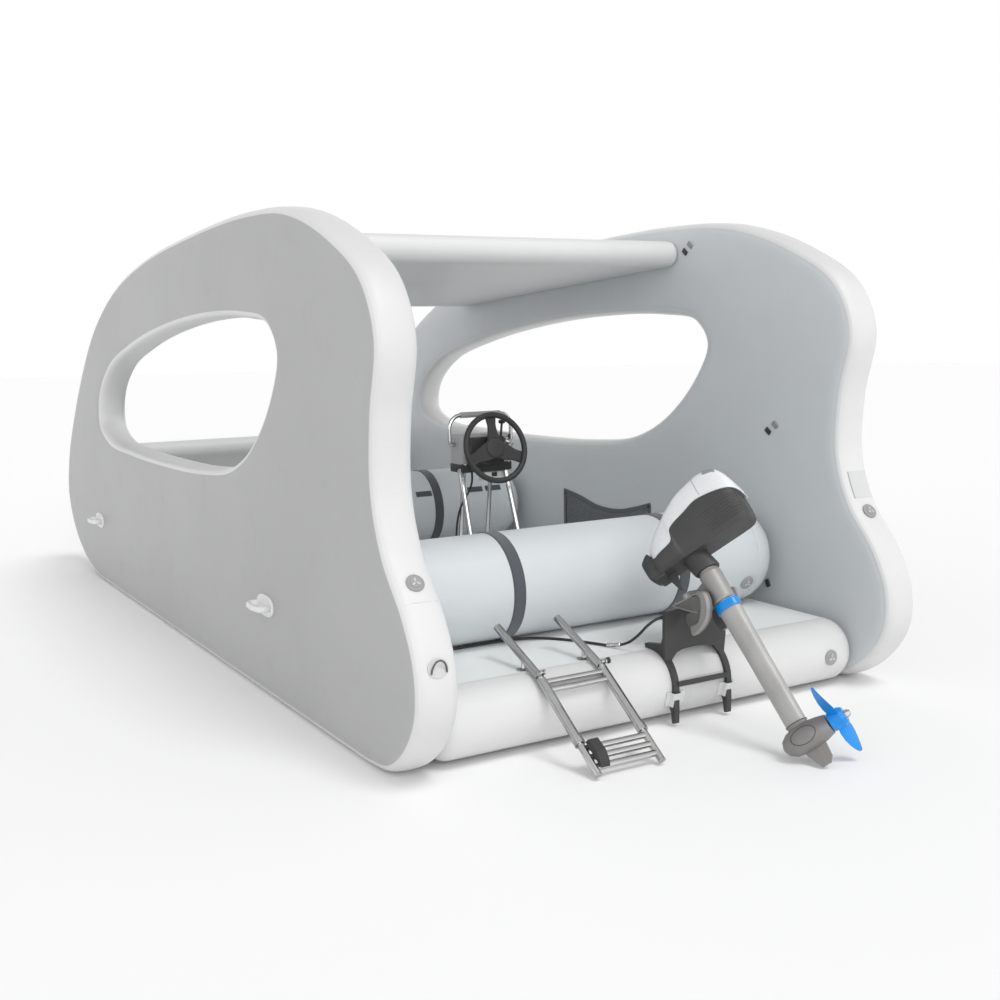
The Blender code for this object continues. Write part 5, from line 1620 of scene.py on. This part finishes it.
def make_camera():
    """The camera at the photograph's place."""
    yaw, pitch, roll = CAMERA_YAW, CAMERA_PITCH, CAMERA_ROLL
    ahead = Vector((math.sin(yaw) * math.cos(pitch), math.cos(yaw) * math.cos(pitch),
                    -math.sin(pitch)))
    right = Vector((math.cos(yaw), -math.sin(yaw), 0))
    up = right.cross(ahead)
    x = math.cos(roll) * right + math.sin(roll) * up
    y = -math.sin(roll) * right + math.cos(roll) * up
    camera = bpy.data.cameras.new("camera")
    camera.lens = CAMERA_LENS
    camera.sensor_width = 36
    camera.sensor_fit = "HORIZONTAL"
    obj = linked("camera", camera)
    obj.matrix_world = Matrix((x, y, -ahead)).transposed().to_4x4()
    obj.matrix_world.translation = at(*CAMERA_PLACE)
    bpy.context.scene.camera = obj


def sun_light(name, direction, spread, strength):
    """A soft, far light that shines from a direction."""
    light = bpy.data.lights.new(name, "SUN")
    light.angle = math.radians(spread)
    light.energy = strength
    linked(name, light).rotation_euler = Vector(direction).to_track_quat("Z", "Y").to_euler()


def make_stage():
    """Camera, floor, world and lights."""
    make_camera()
    floor = turned("floor", [(40.0, -0.02), (40.0, 0.0)], 64)
    start_material("stage_floor", {"Roughness": 0.9, "Specular IOR Level": 0.1,
                                   "Base Color": (0.93, 0.93, 0.93, 1)})
    floor.materials.append(MATERIALS["stage_floor"])
    linked("floor", floor)
    bpy.context.scene.view_settings.view_transform = "Standard"
    make_studio_world()
    sun_light("overhead", (0.15, -0.5, 1.0), 24, 1.15)
    sun_light("stern", (-0.3, -1.0, 0.45), 35, 0.7)


def make_studio_world():
    """White all round the horizon, darker overhead so that bright metal has something to show."""
    world = bpy.data.worlds.new("studio")
    world.use_nodes = True
    tree = world.node_tree
    background = tree.nodes["Background"].inputs
    background["Color"].default_value = (1, 1, 1, 1)
    place = node(tree, "ShaderNodeTexCoord").outputs["Generated"]
    height = node(tree, "ShaderNodeSeparateXYZ", {"Vector": place}).outputs["Z"]
    feed(tree, background["Strength"], ranged(tree, height, 1.0, 0.5, 0.30, 0.75))
    bpy.context.scene.world = world


class HOUSEBOAT_OT_materials(Operator):
    """Make the materials and the Geometry Nodes trees"""

    bl_idname = "houseboat.materials"
    bl_label = "Materials"

    def execute(self, context):
        make_materials(context.scene.houseboat_hull, context.scene.houseboat_gear)
        TREES["screw_heads"] = make_screw_tree()
        TREES["stitches"] = make_stitch_tree()
        TREES["net_strands"] = make_strand_tree()
        return {"FINISHED"}


class HOUSEBOAT_OT_stage(Operator):
    """Make the camera, floor and lights"""

    bl_idname = "houseboat.stage"
    bl_label = "Stage"

    def execute(self, context):
        make_stage()
        return {"FINISHED"}


class HOUSEBOAT_OT_cable(Operator):
    """Lay the steering cable"""

    bl_idname = "houseboat.cable"
    bl_label = "Steering cable"

    def execute(self, context):
        make_cable()
        return {"FINISHED"}


class HOUSEBOAT_OT_walls(Operator):
    """Build the side wall skins and their seam tapes"""

    bl_idname = "houseboat.walls"
    bl_label = "Side walls"

    def execute(self, context):
        make_walls(context.scene.houseboat_hull)
        return {"FINISHED"}


class HOUSEBOAT_OT_panels(Operator):
    """Build the deck, the roof and the bow panel"""

    bl_idname = "houseboat.panels"
    bl_label = "Deck, roof and bow panel"

    def execute(self, context):
        make_panels()
        return {"FINISHED"}


class HOUSEBOAT_OT_benches(Operator):
    """Build the bench tubes and their straps"""

    bl_idname = "houseboat.benches"
    bl_label = "Benches"

    def execute(self, context):
        make_benches()
        return {"FINISHED"}


class HOUSEBOAT_OT_console(Operator):
    """Dress the helm console and build the steering wheel"""

    bl_idname = "houseboat.console"
    bl_label = "Helm console"

    def execute(self, context):
        make_console()
        return {"FINISHED"}


class HOUSEBOAT_OT_motor(Operator):
    """Dress the outboard, its clamp and its bracket"""

    bl_idname = "houseboat.motor"
    bl_label = "Outboard"

    def execute(self, context):
        make_motor()
        return {"FINISHED"}


class HOUSEBOAT_OT_ladder(Operator):
    """Dress the boarding ladder"""

    bl_idname = "houseboat.ladder"
    bl_label = "Ladder"

    def execute(self, context):
        make_ladder()
        return {"FINISHED"}


class HOUSEBOAT_OT_fittings(Operator):
    """Build the valves, cleats, rings, patches and the net pocket"""

    bl_idname = "houseboat.fittings"
    bl_label = "Fittings"

    def execute(self, context):
        make_fittings(context.scene.houseboat_gear)
        return {"FINISHED"}


STEPS = ("materials", "stage", "cable", "walls", "panels", "benches", "console", "motor",
         "ladder", "fittings")


class HOUSEBOAT_PT_panel(Panel):
    """Lists the houseboat's sizes, colours and building steps"""

    bl_idname = "HOUSEBOAT_PT_panel"
    bl_label = "Houseboat"
    bl_space_type = "VIEW_3D"
    bl_region_type = "UI"
    bl_category = "Houseboat"

    def draw(self, context):
        layout = self.layout
        for settings in (context.scene.houseboat_hull, context.scene.houseboat_gear):
            column = layout.column()
            for key in settings.__annotations__:
                column.prop(settings, key)
        for step in STEPS:
            layout.operator("houseboat." + step)


CLASSES = (HouseboatHull, HouseboatGear, HOUSEBOAT_OT_materials, HOUSEBOAT_OT_stage,
           HOUSEBOAT_OT_cable, HOUSEBOAT_OT_walls, HOUSEBOAT_OT_panels, HOUSEBOAT_OT_benches,
           HOUSEBOAT_OT_console, HOUSEBOAT_OT_motor, HOUSEBOAT_OT_ladder, HOUSEBOAT_OT_fittings,
           HOUSEBOAT_PT_panel)


def register():
    """Adds the classes and the scene's settings."""
    for cls in CLASSES:
        bpy.utils.register_class(cls)
    bpy.types.Scene.houseboat_hull = PointerProperty(type=HouseboatHull)
    bpy.types.Scene.houseboat_gear = PointerProperty(type=HouseboatGear)


def unregister():
    """Takes away what register added."""
    del bpy.types.Scene.houseboat_gear
    del bpy.types.Scene.houseboat_hull
    for cls in reversed(CLASSES):
        bpy.utils.unregister_class(cls)


def main():
    """Runs every building step."""
    register()
    for step in STEPS:
        getattr(bpy.ops.houseboat, step)()


if __name__ == "__main__":
    main()
